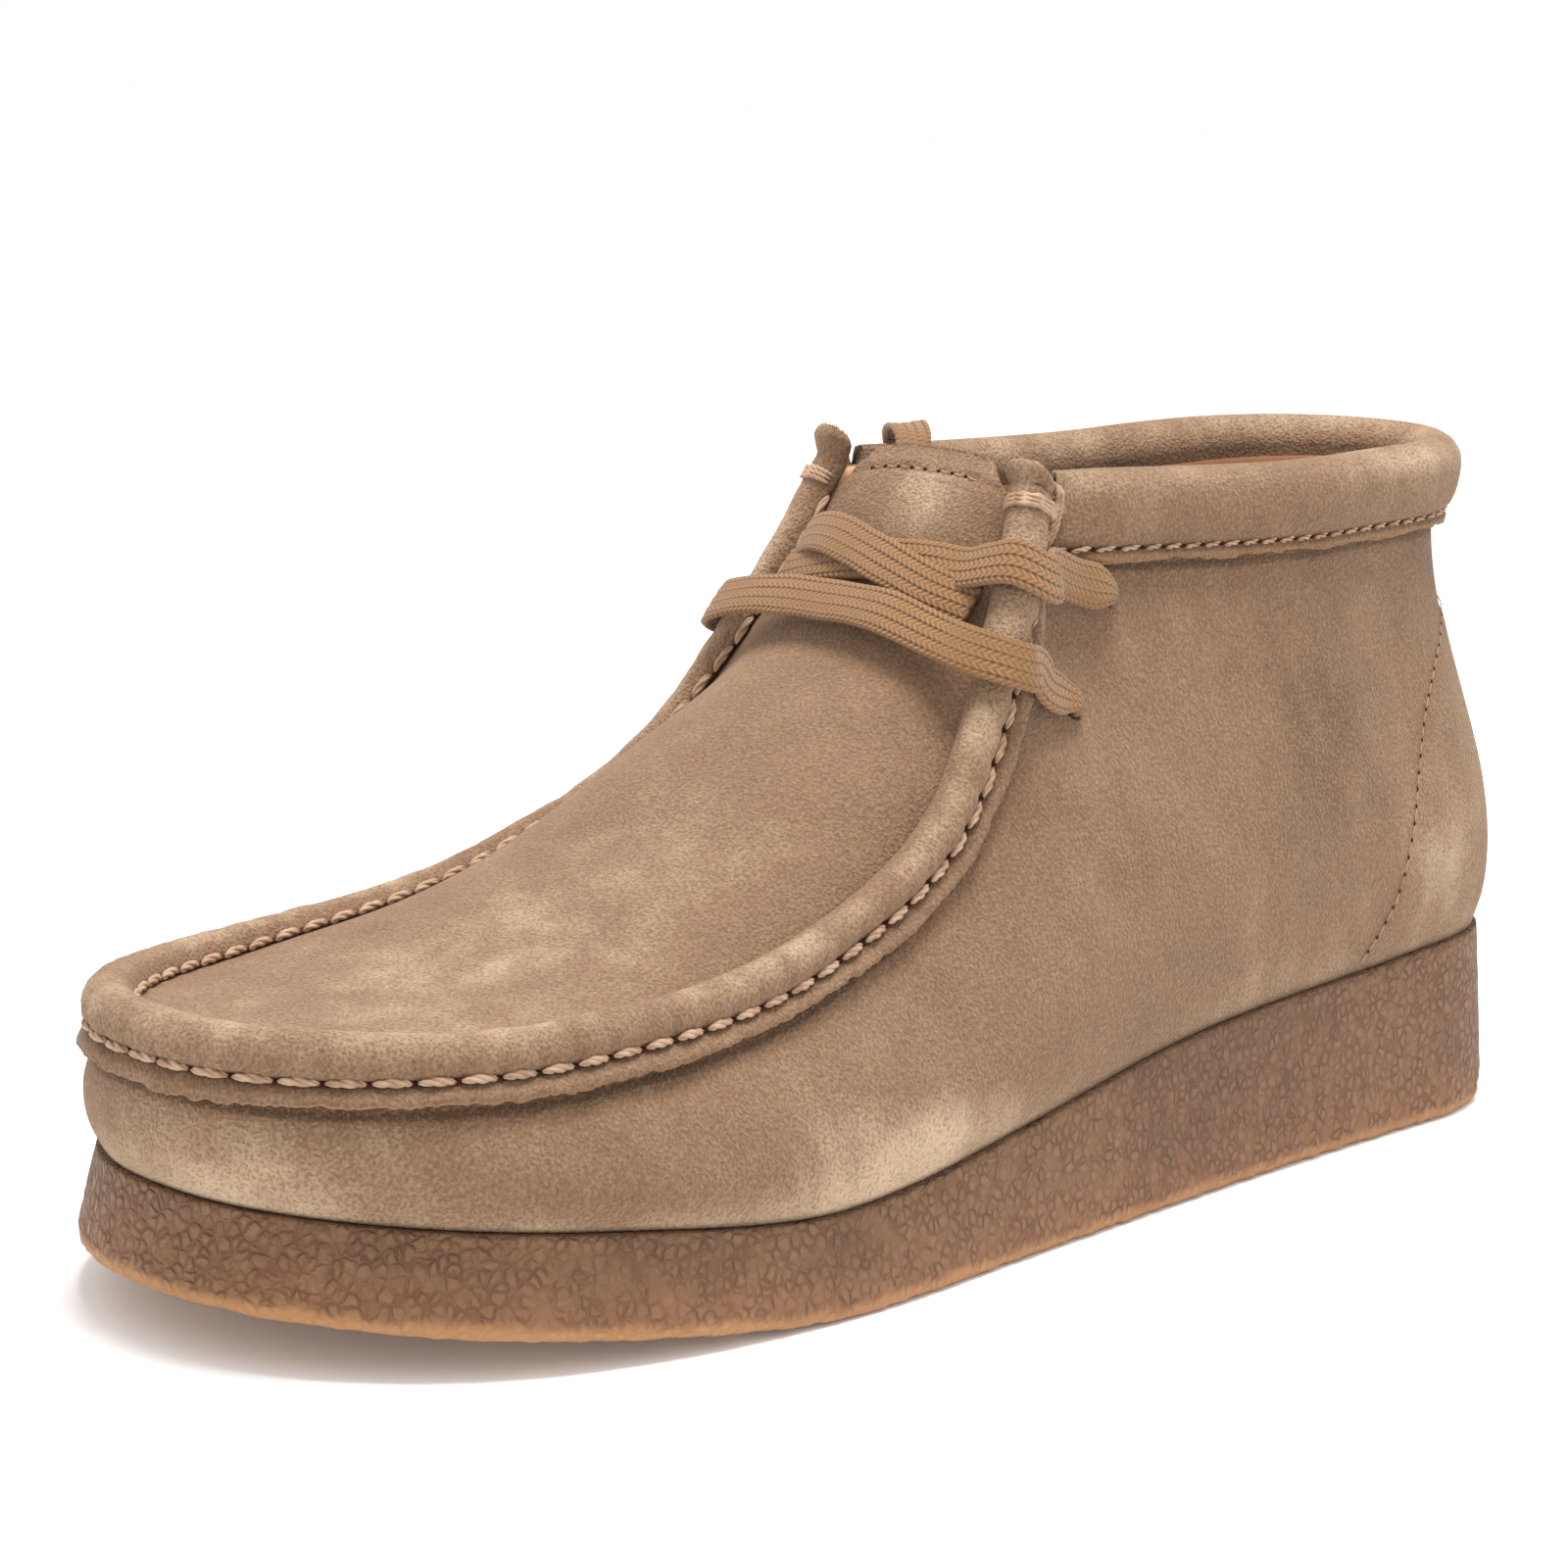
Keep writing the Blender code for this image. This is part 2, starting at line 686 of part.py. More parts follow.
def make_collar_roll():
    """Padded band folded over the top edge of the wrap, from one facing round the heel to the other."""
    inner_face = -(LEATHER + SEAT)
    contour = [(COLLAR_BAND, SEAT)]
    contour += [(down * COLLAR_BAND, SEAT + out * COLLAR_PADDING) for down, out in COLLAR_OUTSIDE]
    contour += [(-COLLAR_CROWN, -LEATHER / 2)]
    contour += [(down * COLLAR_INSIDE, inner_face - into * COLLAR_PADDING) for down, into in COLLAR_INSIDE_FACE]
    contour += [(COLLAR_INSIDE, inner_face), (COLLAR_INSIDE / 2, inner_face)]
    contour += [(-SEAT, inner_face), (-SEAT, SEAT), (COLLAR_BAND / 2, SEAT)]
    stops = np.arange(-COLLAR_STOP, COLLAR_STOP + 1)
    sections = []
    for k in stops:
        side = -1 if k < 0 else 1
        near_end = np.clip((abs(k) - COLLAR_STOP + 3) / 3, 0, 1)
        section = []
        for down, out in contour:
            rib = RIBS[abs(k)] + near_end * COLLAR_LEAN * max(down, 0) / COLLAR_BAND
            base, normal = wall_spot(rib, side, up_from_top(rib, side, down))
            section.append(base + normal * out)
        sections.append(np.array(section))
    return swept_piece("collar_roll", sections, SUEDE, False)


def flat_lace(name, points, hearts):
    """Flat lace on a smooth curve through the points, its face turned away from the hearts beside them."""
    run = np.concatenate([[0], np.cumsum(np.linalg.norm(np.diff(points, axis=0), axis=1))])
    at = np.linspace(0, run[-1], int(2 * run[-1] / LACE_WIDTH) + 1)
    table = np.column_stack([run, points, hearts])
    smooth = np.column_stack([spline(table, column, at) for column in range(1, 7)])
    route = smooth[:, :3]
    tangent = unit(np.gradient(route, axis=0))
    face = route - smooth[:, 3:]
    face = unit(face - (face * tangent).sum(axis=1, keepdims=True) * tangent)
    across = np.cross(tangent, face)
    half = np.array([LACE_WIDTH / 2, LACE_THICKNESS / 2])
    ring = np.array([[-1, 0], [-0.85, 0.8], [0, 1], [0.85, 0.8], [1, 0], [0.85, -0.8], [0, -1], [-0.85, -0.8]]) * half
    sections = [route[n] + np.outer(ring[:, 0], across[n]) + np.outer(ring[:, 1], face[n]) for n in range(len(route))]
    return swept_piece(name, sections, LACE, False)


def lace_over(name, table):
    """Flat lace over the leather, its face along the leather's normal."""
    points = []
    hearts = []
    for rib, girth, over in table:
        base, normal = girth_spot(rib, girth)
        hearts.append(base - normal * LACE_WIDTH * 2)
        points.append(base + normal * (1.5 * GAP + LACE_THICKNESS / 2 + over * BEAD_HEIGHT))
    return flat_lace(name, np.array(points), np.array(hearts))


def make_laces():
    lace_over("lace_bar_lower", LOWER_BAR)
    upper = lace_over("lace_cross_upper", UPPER_STRAND)
    under = lace_over("lace under strand", UNDER_STRAND)
    for home in under.users_collection:
        home.objects.unlink(under)
    CUTTERS.objects.link(under)
    under.hide_render = True
    under.display_type = "WIRE"
    joint = upper.modifiers.new("strands joined where they cross", "BOOLEAN")
    joint.operation = "UNION"
    joint.object = under
    make_lace_end()


def make_lace_end():
    reach = LEATHER / 2 + COLLAR_PADDING + 2 * GAP + LACE_THICKNESS
    points = []
    hearts = []
    for rib, out, up in LACE_END:
        base, normal = wall_spot(rib, -1, up_from_top(rib, -1, max(-up, 0) * reach))
        level = unit(np.array([normal[0], normal[1], 0]))
        heart = base - normal * LEATHER / 2
        hearts.append(heart)
        points.append(heart + level * out * reach + np.array([0, 0, max(up, 0) * reach]))
    return flat_lace("lace_end", np.array(points), np.array(hearts))


def stand_over_origin():
    """Moves the whole boot so that the middle of its footprint is over the origin."""
    bpy.context.view_layer.update()
    shapes = bpy.context.evaluated_depsgraph_get()
    corners = []
    for piece in BOOT.objects:
        if piece.name != "lace_end":
            corners += [np.array(corner) for corner in piece.evaluated_get(shapes).bound_box]
    middle = (np.min(corners, axis=0) + np.max(corners, axis=0)) / 2
    for piece in list(BOOT.objects) + list(CUTTERS.objects):
        piece.location.x -= middle[0]
        piece.location.y -= middle[1]


for old in list(bpy.data.objects):
    bpy.data.objects.remove(old, do_unlink=True)
BOOT = bpy.data.collections.new("moccasin boot")
CUTTERS = bpy.data.collections.new("cutters")
bpy.context.scene.collection.children.link(BOOT)
bpy.context.scene.collection.children.link(CUTTERS)
SUEDE = make_material("sand suede", (0.445, 0.287, 0.172), 0.9)
LACE = make_material("woven lace", (0.445, 0.255, 0.098), 0.85)
make_outsole()
make_insole()
make_upper()
make_tongue()
make_seam_roll()
make_collar_roll()
make_laces()
stand_over_origin()
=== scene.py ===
"""Looks of the moccasin boot, a left shoe: suede, seams, stitches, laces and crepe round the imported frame.

Metres, +Z up, toe towards -Y, outer side of the foot towards +X. The shape's sizes, tables and functions
are those of the part, so that every piece here lies on the form of the solid that it stands for.
A rib is a place along the boot: 0 at the back of the heel and 1 at the tip of the toe. A place round the
boot is its loop: 0 at the heel, 1 at the toe along the outer side, and on to 2 along the inner side.
"""
import math

import bpy
import numpy as np
from mathutils import Matrix, Vector
from mathutils.bvhtree import BVHTree


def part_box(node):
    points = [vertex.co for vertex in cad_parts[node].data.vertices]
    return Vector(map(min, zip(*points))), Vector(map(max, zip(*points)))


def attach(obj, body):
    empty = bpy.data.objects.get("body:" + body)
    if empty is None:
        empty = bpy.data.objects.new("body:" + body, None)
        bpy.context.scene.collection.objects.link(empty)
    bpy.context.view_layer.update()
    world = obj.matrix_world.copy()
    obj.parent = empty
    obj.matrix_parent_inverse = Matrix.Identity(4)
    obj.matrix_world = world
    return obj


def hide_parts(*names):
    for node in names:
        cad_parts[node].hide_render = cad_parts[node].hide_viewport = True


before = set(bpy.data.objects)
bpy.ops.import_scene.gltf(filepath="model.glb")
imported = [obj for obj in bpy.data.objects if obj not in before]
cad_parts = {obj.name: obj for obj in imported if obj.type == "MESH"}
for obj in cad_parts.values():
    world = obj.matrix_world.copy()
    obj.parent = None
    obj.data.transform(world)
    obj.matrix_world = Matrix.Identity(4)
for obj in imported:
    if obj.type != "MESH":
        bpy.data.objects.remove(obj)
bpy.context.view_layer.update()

# Sizes of the boot
SOLE_LENGTH = 0.292
BALL_WIDTH = 0.108
HEEL_THICKNESS = 0.0325
FOREFOOT_THICKNESS = 0.0155
TOE_SPRING = 0.0085
SOLE_FLARE = 0.0025
COLLAR_HEIGHT = 0.1175
TOE_SEAM_HEIGHT = 0.0455
SWELL = 0.010
INSTEP_CROWN = 0.019
LEATHER = 0.0020
INSOLE_THICKNESS = 0.0040
BEAD_WIDTH = 0.0070
BEAD_HEIGHT = 0.0046
FLANGE_WIDTH = 0.0042
FLANGE_THICKNESS = 0.0014
SEAM_STUB = 0.0065
COLLAR_BAND = 0.0122
COLLAR_PADDING = 0.0030
COLLAR_LEAN = 0.012
LACE_WIDTH = 0.0078
LACE_THICKNESS = 0.0015
EYELET_DIAMETER = 0.0045
GAP = 0.0003
INSET = LEATHER / 2
TONGUE_SLIT = LEATHER + 2 * GAP
SEAT = 2 * GAP
HEEL_ROUND = 0.125
HEEL_POWER = 2.2
TOE_ROUND = 0.23
TOE_POWER = 2.35
FACING = 0.42
THROAT = 0.532
CROWN_POWER = 3.0
MM = 0.001
SEAM_HALF = 0.42 * BEAD_WIDTH
FLANGE_EDGE = SEAM_HALF + FLANGE_WIDTH
# About the millimetres of one whole rib or loop, for wanders along the boot
LOOP_MM = 300
# The top of the wall that is measured for distances down from its edge, as a share of the way up
TOP_SPAN = 0.03

# Outline of the sole's top edge: share of the length, half widths as shares of the ball width
PLAN = np.array([
    # along, outer, inner
    [0.00, 0.350, 0.335],
    [0.15, 0.362, 0.334],
    [0.35, 0.398, 0.312],
    [0.55, 0.452, 0.400],
    [0.70, 0.489, 0.475],
    [0.83, 0.462, 0.475],
    [0.93, 0.430, 0.455],
    [1.00, 0.386, 0.395],
])

# Side of the sole: lift as a share of the toe spring, wedge as a share of heel less forefoot thickness
SOLE_SIDE = np.array([
    # along, lift, wedge
    [0.00, 0.18, 0.91],
    [0.05, 0.02, 0.99],
    [0.20, 0.00, 0.88],
    [0.40, 0.00, 0.66],
    [0.55, 0.00, 0.28],
    [0.62, 0.00, 0.12],
    [0.70, 0.00, 0.02],
    [0.85, 0.46, 0.00],
    [1.00, 1.00, -0.06],
])

# Edge of the sole from its top to its tread, rounded below: share of the height, share of the flare
SOLE_EDGE = np.array([
    # down, out
    [0.00, 0.00],
    [0.35, 0.45],
    [0.70, 0.85],
    [0.86, 1.02],
    [0.93, 0.95],
    [0.98, 0.72],
    [1.00, 0.30],
])

# Top edge of the leather: rib, share of the length, half widths as shares of the ball width,
# rise as a share of the collar's height over the toe seam, swell and shoulder as shares of the swell
COLLAR = np.array([
    # rib, along, outer, inner, rise, swell, shoulder
    [0.00, 0.026, 0.226, 0.222, 1.012, 0.72, -0.80],
    [0.15, 0.158, 0.246, 0.250, 0.998, 0.95, -0.33],
    [0.28, 0.265, 0.246, 0.250, 0.985, 0.94, 0.00],
    [FACING, 0.454, 0.180, 0.214, 0.990, 0.95, 0.00],
])
SEAM = np.array([
    # rib, along, outer, inner, rise, swell, shoulder
    [FACING, 0.454, 0.180, 0.214, 0.990, 0.95, 0.00],
    [0.50, 0.493, 0.240, 0.240, 0.725, 0.95, 0.40],
    [0.58, 0.552, 0.292, 0.306, 0.354, 0.95, 0.60],
    [0.70, 0.677, 0.340, 0.348, 0.090, 0.75, 0.70],
    [0.85, 0.845, 0.356, 0.367, -0.010, 0.66, 0.50],
    [1.00, 1.000, 0.369, 0.374, 0.000, 0.59, 0.26],
])

# Height of the leather over the line between the two seams, as a share of the instep crown
CROWN = np.array([
    # rib, crown
    [FACING, 0.30],
    [0.46, 0.33],
    [0.50, 0.42],
    [0.54, 0.62],
    [0.58, 0.88],
    [0.63, 1.00],
    [0.70, 0.72],
    [0.78, 0.38],
    [0.86, 0.15],
    [0.93, 0.04],
    [1.00, 0.00],
])

# Section of the rolled seam over the bead, from the stitches outside to the plug: across as a share of the
# bead width from the seam's line, over as a share of the bead height
BEAD_SECTION = np.array([
    # across, over
    [-0.47, 0.30],
    [-0.44, 0.52],
    [-0.35, 0.75],
    [-0.20, 0.93],
    [-0.02, 1.00],
    [0.16, 0.95],
    [0.30, 0.78],
    [0.40, 0.55],
    [0.45, 0.36],
    [0.46, 0.33],
])

# Section of the collar's roll from its raw edge outside, over the top, to its edge inside: down from the
# leather's top as a share of the band, out from the wall's outside as a share of the padding
COLLAR_SECTION = np.array([
    # down, out
    [1.00, 0.30],
    [1.01, 0.50],
    [0.98, 0.66],
    [0.92, 0.66],
    [0.86, 0.50],
    [0.82, 0.42],
    [0.78, 0.60],
    [0.68, 0.90],
    [0.50, 1.06],
    [0.30, 1.10],
    [0.12, 1.05],
    [-0.06, 0.85],
    [-0.18, 0.45],
    [-0.25, 0.00],
    [-0.27, -0.40],
    [-0.23, -0.90],
    [-0.13, -1.35],
    [0.02, -1.68],
    [0.18, -1.85],
    [0.38, -1.85],
    [0.52, -1.65],
    [0.62, -1.35],
    [0.65, -1.10],
])

# Underside of the roll, back from its inner edge round the leather's edge to its outer edge, as above
COLLAR_UNDER = np.array([
    # down, out
    [0.60, -0.95],
    [0.30, -0.95],
    [-0.02, -0.95],
    [-0.02, 0.15],
    [0.45, 0.15],
    [0.95, 0.15],
])

# Tongue: rib, share of the throat's width that is left free at each side
TONGUE_EDGE = np.array([
    # rib, outer, inner
    [FACING, 0.15, 0.12],
    [0.436, 0.05, 0.05],
    [0.458, 0.01, 0.02],
    [0.49, 0.00, 0.00],
    [THROAT, 0.00, 0.00],
])

# Punched lace holes: rib, share of the way up the wall
EYELETS = np.array([
    # rib, up
    [0.428, 0.645],
    [0.384, 0.816],
])

# Routes of the flat lace over the leather. Girth is -1 to 0 up the outer wall, 0 to 1 across the plug and
# the tongue, and 1 to 2 down the inner wall. Over is the height above the leather as a share of the bead.
LOWER_BAR = np.array([
    # rib, girth, over
    [0.428, -0.355, 0.00],
    [0.452, -0.290, 0.20],
    [0.478, -0.215, 0.46],
    [0.500, -0.115, 0.86],
    [0.518, -0.035, 1.26],
    [0.530, 0.035, 1.22],
    [0.540, 0.150, 0.86],
    [0.543, 0.350, 0.68],
    [0.542, 0.560, 0.52],
    [0.540, 0.740, 0.66],
    [0.535, 0.870, 1.00],
    [0.528, 0.965, 1.26],
    [0.518, 1.030, 1.26],
    [0.498, 1.110, 0.86],
    [0.478, 1.200, 0.46],
    [0.452, 1.280, 0.20],
    [0.428, 1.355, 0.00],
])
UPPER_STRAND = np.array([
    # rib, girth, over
    [0.512, 0.110, 0.10],
    [0.519, 0.230, 0.30],
    [0.516, 0.400, 0.50],
    [0.508, 0.560, 0.52],
    [0.500, 0.700, 0.50],
    [0.494, 0.800, 0.36],
    [0.490, 0.880, 0.14],
])
UNDER_STRAND = np.array([
    # rib, girth, over
    [0.511, 0.880, 0.10],
    [0.514, 0.790, 0.12],
    [0.514, 0.655, 0.16],
    [0.510, 0.480, 0.18],
    [0.506, 0.300, 0.18],
    [0.500, 0.175, 0.24],
    [0.491, 0.085, 0.80],
    [0.481, 0.012, 1.26],
    [0.466, -0.040, 1.12],
    [0.440, -0.092, 0.76],
    [0.410, -0.157, 0.56],
    [0.384, -0.186, 0.02],
])

# Short end of lace over the inner side of the collar, from its bare end outside to the upper lace hole
# inside: rib, place out from the wall's middle, and up over the top edge or, below zero, down along the
# wall, as shares of the reach round the roll
LACE_END = np.array([
    # rib, out, up
    [0.352, 0.96, -2.40],
    [0.355, 1.00, -1.50],
    [0.358, 1.03, -0.60],
    [0.364, 0.98, 0.25],
    [0.374, 0.42, 0.90],
    [0.386, -0.45, 0.88],
    [0.396, -1.08, 0.35],
    [0.402, -1.30, -0.55],
    [0.403, -1.30, -1.40],
    [0.396, -1.15, -2.10],
    [0.386, -0.92, -2.70],
])

# Soft troughs (below zero) and ridges of the leather, laid from one place to another
CREASES = np.array([
    # girth side, rib, up, rib, up, half width in mm, height in mm
    [1, 0.40, 0.62, 0.33, 0.30, 7.0, -0.55],
    [1, 0.30, 0.72, 0.27, 0.35, 9.0, -0.50],
    [1, 0.24, 0.70, 0.20, 0.30, 8.0, 0.35],
    [1, 0.16, 0.74, 0.13, 0.45, 7.0, -0.35],
    [1, 0.52, 0.72, 0.46, 0.35, 8.0, -0.50],
    [1, 0.60, 0.70, 0.54, 0.35, 8.0, 0.40],
    [1, 0.66, 0.62, 0.60, 0.30, 8.0, -0.40],
    [-1, 0.40, 0.62, 0.33, 0.30, 7.0, -0.55],
    [-1, 0.28, 0.70, 0.24, 0.35, 9.0, -0.45],
    [-1, 0.53, 0.74, 0.47, 0.38, 8.0, -0.50],
    [-1, 0.62, 0.66, 0.56, 0.32, 8.0, 0.40],
])
PLUG_CREASES = np.array([
    # rib, across, rib, across, half width in mm, height in mm
    [0.560, 0.86, 0.640, 0.70, 4.0, -0.35],
    [0.590, 0.20, 0.660, 0.42, 4.5, -0.35],
    [0.680, 0.25, 0.720, 0.75, 6.0, -0.40],
    [0.740, 0.18, 0.760, 0.62, 6.0, 0.30],
    [0.830, 0.30, 0.850, 0.80, 8.0, -0.40],
    [0.545, 0.10, 0.600, 0.05, 3.5, -0.70],
    [0.545, 0.90, 0.600, 0.95, 3.5, -0.70],
])

# Worn, light patches of the nap (above zero) and darker, rubbed ones
WEAR = np.array([
    # side, rib, up, half length in mm, half height in mm, tone
    [1, 0.992, 0.18, 24, 9, 0.60],
    [1, 0.640, 0.16, 24, 6, 0.66],
    [1, 0.720, 0.10, 30, 5, 0.35],
    [1, 0.135, 0.22, 14, 13, 0.60],
    [1, 0.030, 0.30, 12, 18, 0.25],
    [1, 0.250, 0.92, 40, 8, 0.20],
    [1, 0.290, 0.48, 16, 20, -0.34],
    [1, 0.200, 0.40, 12, 22, -0.22],
    [1, 0.230, 0.66, 14, 14, -0.22],
    [1, 0.420, 0.35, 18, 14, -0.16],
    [1, 0.060, 0.72, 12, 16, -0.18],
    [1, 0.840, 0.30, 24, 8, -0.14],
    [-1, 0.950, 0.16, 22, 8, 0.45],
    [-1, 0.620, 0.16, 26, 7, 0.45],
    [-1, 0.140, 0.24, 16, 12, 0.45],
    [-1, 0.300, 0.50, 20, 18, -0.25],
    [-1, 0.440, 0.35, 18, 14, -0.20],
    [-1, 0.780, 0.40, 26, 10, -0.12],
])
PLUG_WEAR = np.array([
    # rib, across, half length in mm, half height in mm, tone
    [0.462, 0.48, 9, 6, 0.60],
    [0.600, 0.55, 24, 22, -0.10],
    [0.800, 0.40, 26, 18, 0.18],
    [0.880, 0.45, 40, 34, 0.20],
    [0.690, 0.30, 16, 10, 0.20],
    [0.900, 0.62, 18, 14, 0.14],
    [0.510, 0.20, 10, 10, -0.45],
    [0.510, 0.85, 10, 10, -0.35],
])

# Painted shadow lines on the leather below the edges of flange and collar band, down from the top edge
FLANGE_SHADOW_DOWN = FLANGE_EDGE + 0.5 * MM
COLLAR_SHADOW_DOWN = COLLAR_BAND + 0.7 * MM

# Stitch line of the heel counter, up from the sole and round to the back seam: rib, share up the wall
COUNTER = np.array([
    # rib, up
    [0.210, 0.015],
    [0.185, 0.120],
    [0.166, 0.260],
    [0.148, 0.400],
    [0.122, 0.520],
    [0.085, 0.620],
    [0.045, 0.685],
    [0.010, 0.705],
])

# Half of the small distance over which directions on the leather are measured, in ribs, loops and shares
STEP = 1e-3
DOWN = np.array([0.0, 0.0, -1.0])

# Threads and their stitches: distance from hole to hole, length, how far a stitch arches over the leather,
# radius of its thread, and half length and half width of a needle hole
SEAM_PITCH = 6.0 * MM
SEAM_STITCH = 5.3 * MM
SEAM_ARCH = 0.42 * MM
SEAM_THREAD = 0.70 * MM
SEAM_HOLE = (0.62 * MM, 0.46 * MM)
WRAP_THREAD = 0.60 * MM
COLLAR_PITCH = 4.6 * MM
COLLAR_STITCH = 3.6 * MM
COLLAR_ARCH = 0.34 * MM
COLLAR_THREAD = 0.46 * MM
COLLAR_HOLE = (0.60 * MM, 0.42 * MM)
COUNTER_PITCH = 3.1 * MM
COUNTER_STITCH = 2.3 * MM
TONGUE_PITCH = 3.0 * MM
TONGUE_STITCH = 2.2 * MM
FINE_ARCH = 0.16 * MM
FINE_RADIUS = 0.22 * MM
FINE_HOLE = (0.42 * MM, 0.30 * MM)

# Distance of the tongue's stitch line from its top edge
TONGUE_HEM = 4.6 * MM

# Distance between the rings of a lace
LACE_SPACING = 0.6 * MM

# Width of a column of the braid and length of its stitches, in millimetres
BRAID_COLUMN = 1.95
BRAID_PITCH = 1.15


def spline(table, column, at):
    """Smooth curve through one column of a table, read at the places given."""
    place = table[:, 0]
    value = table[:, column]
    slope = np.gradient(value, place)
    at = np.asarray(at, dtype=float)
    row = np.clip(np.searchsorted(place, at) - 1, 0, len(place) - 2)
    width = place[row + 1] - place[row]
    t = (at - place[row]) / width
    start = (2 * t**3 - 3 * t**2 + 1) * value[row] + (t**3 - 2 * t**2 + t) * width * slope[row]
    end = (3 * t**2 - 2 * t**3) * value[row + 1] + (t**3 - t**2) * width * slope[row + 1]
    return start + end


def run_along(points):
    """Length along a line at each of its points."""
    return np.concatenate([[0], np.cumsum(np.linalg.norm(np.diff(points, axis=0), axis=1))])


def smooth_through(points, count):
    """Evenly spaced points on a smooth curve through a few points."""
    points = np.asarray(points, dtype=float)
    run = run_along(points)
    table = np.column_stack([run, points])
    at = np.linspace(0, run[-1], count)
    return np.column_stack([spline(table, column, at) for column in range(1, table.shape[1])])


def unit(vectors):
    return vectors / np.maximum(np.linalg.norm(vectors, axis=-1, keepdims=True), 1e-12)


def ease(value):
    """Soft step from 0 to 1."""
    share = np.clip(value, 0, 1)
    return share * share * (3 - 2 * share)


def bell(value, middle, width):
    """Soft bump of height 1 round a middle."""
    return np.exp(-(((value - middle) / width) ** 2))


def wander(at, step, seed):
    """Smooth random line between -1 and 1 that changes about every step; it is the same on every run."""
    at = np.asarray(at, dtype=float) / step
    low = np.floor(at).astype(int)
    picks = np.random.default_rng(seed).uniform(-1, 1, 4096)
    before = picks[low % len(picks)]
    after = picks[(low + 1) % len(picks)]
    return before + (after - before) * ease(at - low)


def round_ends(rib):
    """Share of the full half width that is left near the round heel and toe."""
    heel = np.clip(1 - rib / HEEL_ROUND, 0, 1)
    toe = np.clip((rib - 1 + TOE_ROUND) / TOE_ROUND, 0, 1)
    at_heel = (1 - heel**HEEL_POWER) ** (1 / HEEL_POWER)
    at_toe = (1 - toe**TOE_POWER) ** (1 / TOE_POWER)
    return at_heel * at_toe


def between_sides(outer, inner, rib, side):
    """Place across the boot for half widths that close at heel and toe."""
    return (outer - inner) / 2 + side * (outer + inner) / 2 * round_ends(rib)


def along_to_y(along):
    return SOLE_LENGTH * (0.5 - along)


def outline(rib, side, grow):
    """Points of the sole's top outline, moved out by grow, and their outward directions."""
    step = 1e-4
    before = np.clip(rib - step, 0, 1)
    after = np.clip(rib + step, 0, 1)

    def across(at):
        outer = spline(PLAN, 1, at) * BALL_WIDTH
        inner = spline(PLAN, 2, at) * BALL_WIDTH
        return between_sides(outer, inner, at, side)

    normal_x = (along_to_y(before) - along_to_y(after)) * side
    normal_y = (across(after) - across(before)) * side
    normal = np.stack([normal_x, normal_y], axis=-1)
    normal[rib <= 0] = (0, 1)
    normal[rib >= 1] = (0, -1)
    normal = unit(normal)
    point = np.stack([across(rib), along_to_y(rib)], axis=-1)
    return point + normal * np.reshape(grow, (-1, 1)), normal


def tread_height(rib):
    return TOE_SPRING * np.maximum(spline(SOLE_SIDE, 1, rib), 0)


def sole_top_height(rib):
    wedge = (HEEL_THICKNESS - FOREFOOT_THICKNESS) * spline(SOLE_SIDE, 2, rib)
    return tread_height(rib) + FOREFOOT_THICKNESS + wedge


def edge_column(column, rib):
    """A column of the collar's table behind the facing and of the seam's table in front of it."""
    behind = spline(COLLAR, column, np.clip(rib, 0, FACING))
    front = spline(SEAM, column, np.clip(rib, FACING, 1))
    return np.where(rib <= FACING, behind, front)


def top_edge(rib, side):
    """Top edge of the leather wall: the collar, then the facing and the moccasin seam."""
    outer = edge_column(2, rib) * BALL_WIDTH
    inner = edge_column(3, rib) * BALL_WIDTH
    across = between_sides(outer, inner, rib, side)
    height = TOE_SEAM_HEIGHT + (COLLAR_HEIGHT - TOE_SEAM_HEIGHT) * edge_column(4, rib)
    return np.stack([across, along_to_y(edge_column(1, rib)), height], axis=-1)


def wall(rib, side, up):
    """Outside of the wrap: a Bezier curve up each rib; up is one row for all ribs or a row for each."""
    foot_line, normal = outline(rib, side, np.full(len(rib), -INSET))
    foot = np.column_stack([foot_line, sole_top_height(rib) + GAP])
    outward = np.column_stack([normal, np.zeros(len(rib))])
    top = top_edge(rib, side)
    height = (top[:, 2] - foot[:, 2])[:, None] * np.array([[0, 0, 0.36]])
    low = foot + outward * (SWELL * edge_column(5, rib))[:, None] + height
    high = top + outward * (SWELL * edge_column(6, rib))[:, None] - height
    t = np.atleast_2d(np.asarray(up, dtype=float))[:, :, None]
    foot, low, high, top = (part[:, None, :] for part in (foot, low, high, top))
    return (1 - t) ** 3 * foot + 3 * (1 - t) ** 2 * t * low + 3 * (1 - t) * t**2 * high + t**3 * top


def plug(rib, across):
    """Leather between the two seams; across is 0 at the outer seam and 1 at the inner one."""
    outer = top_edge(rib, 1)[:, None, :]
    inner = top_edge(rib, -1)[:, None, :]
    crown = INSTEP_CROWN * spline(CROWN, 1, rib) * np.sqrt(round_ends(rib))
    w = np.asarray(across, dtype=float)
    w = np.broadcast_to(w, (len(rib), w.shape[-1]))[:, :, None]
    arch = 1 - np.abs(2 * w - 1) ** CROWN_POWER
    return (1 - w) * outer + w * inner + np.array([0, 0, 1]) * crown[:, None, None] * arch


def fold(loop):
    """Rib and side of places on the loop."""
    place = np.mod(loop, 2)
    return np.where(place <= 1, place, 2 - place), np.where(place <= 1, 1.0, -1.0)


def skin_point(loop, up):
    rib, side = fold(loop)
    return wall(rib, side, up[:, None])[:, 0]


def in_pairs(*values):
    """Flat arrays of one length from values, rows and grids that belong together."""
    arrays = [np.asarray(value, float) for value in values]
    return (np.ravel(part) for part in np.broadcast_arrays(*arrays))


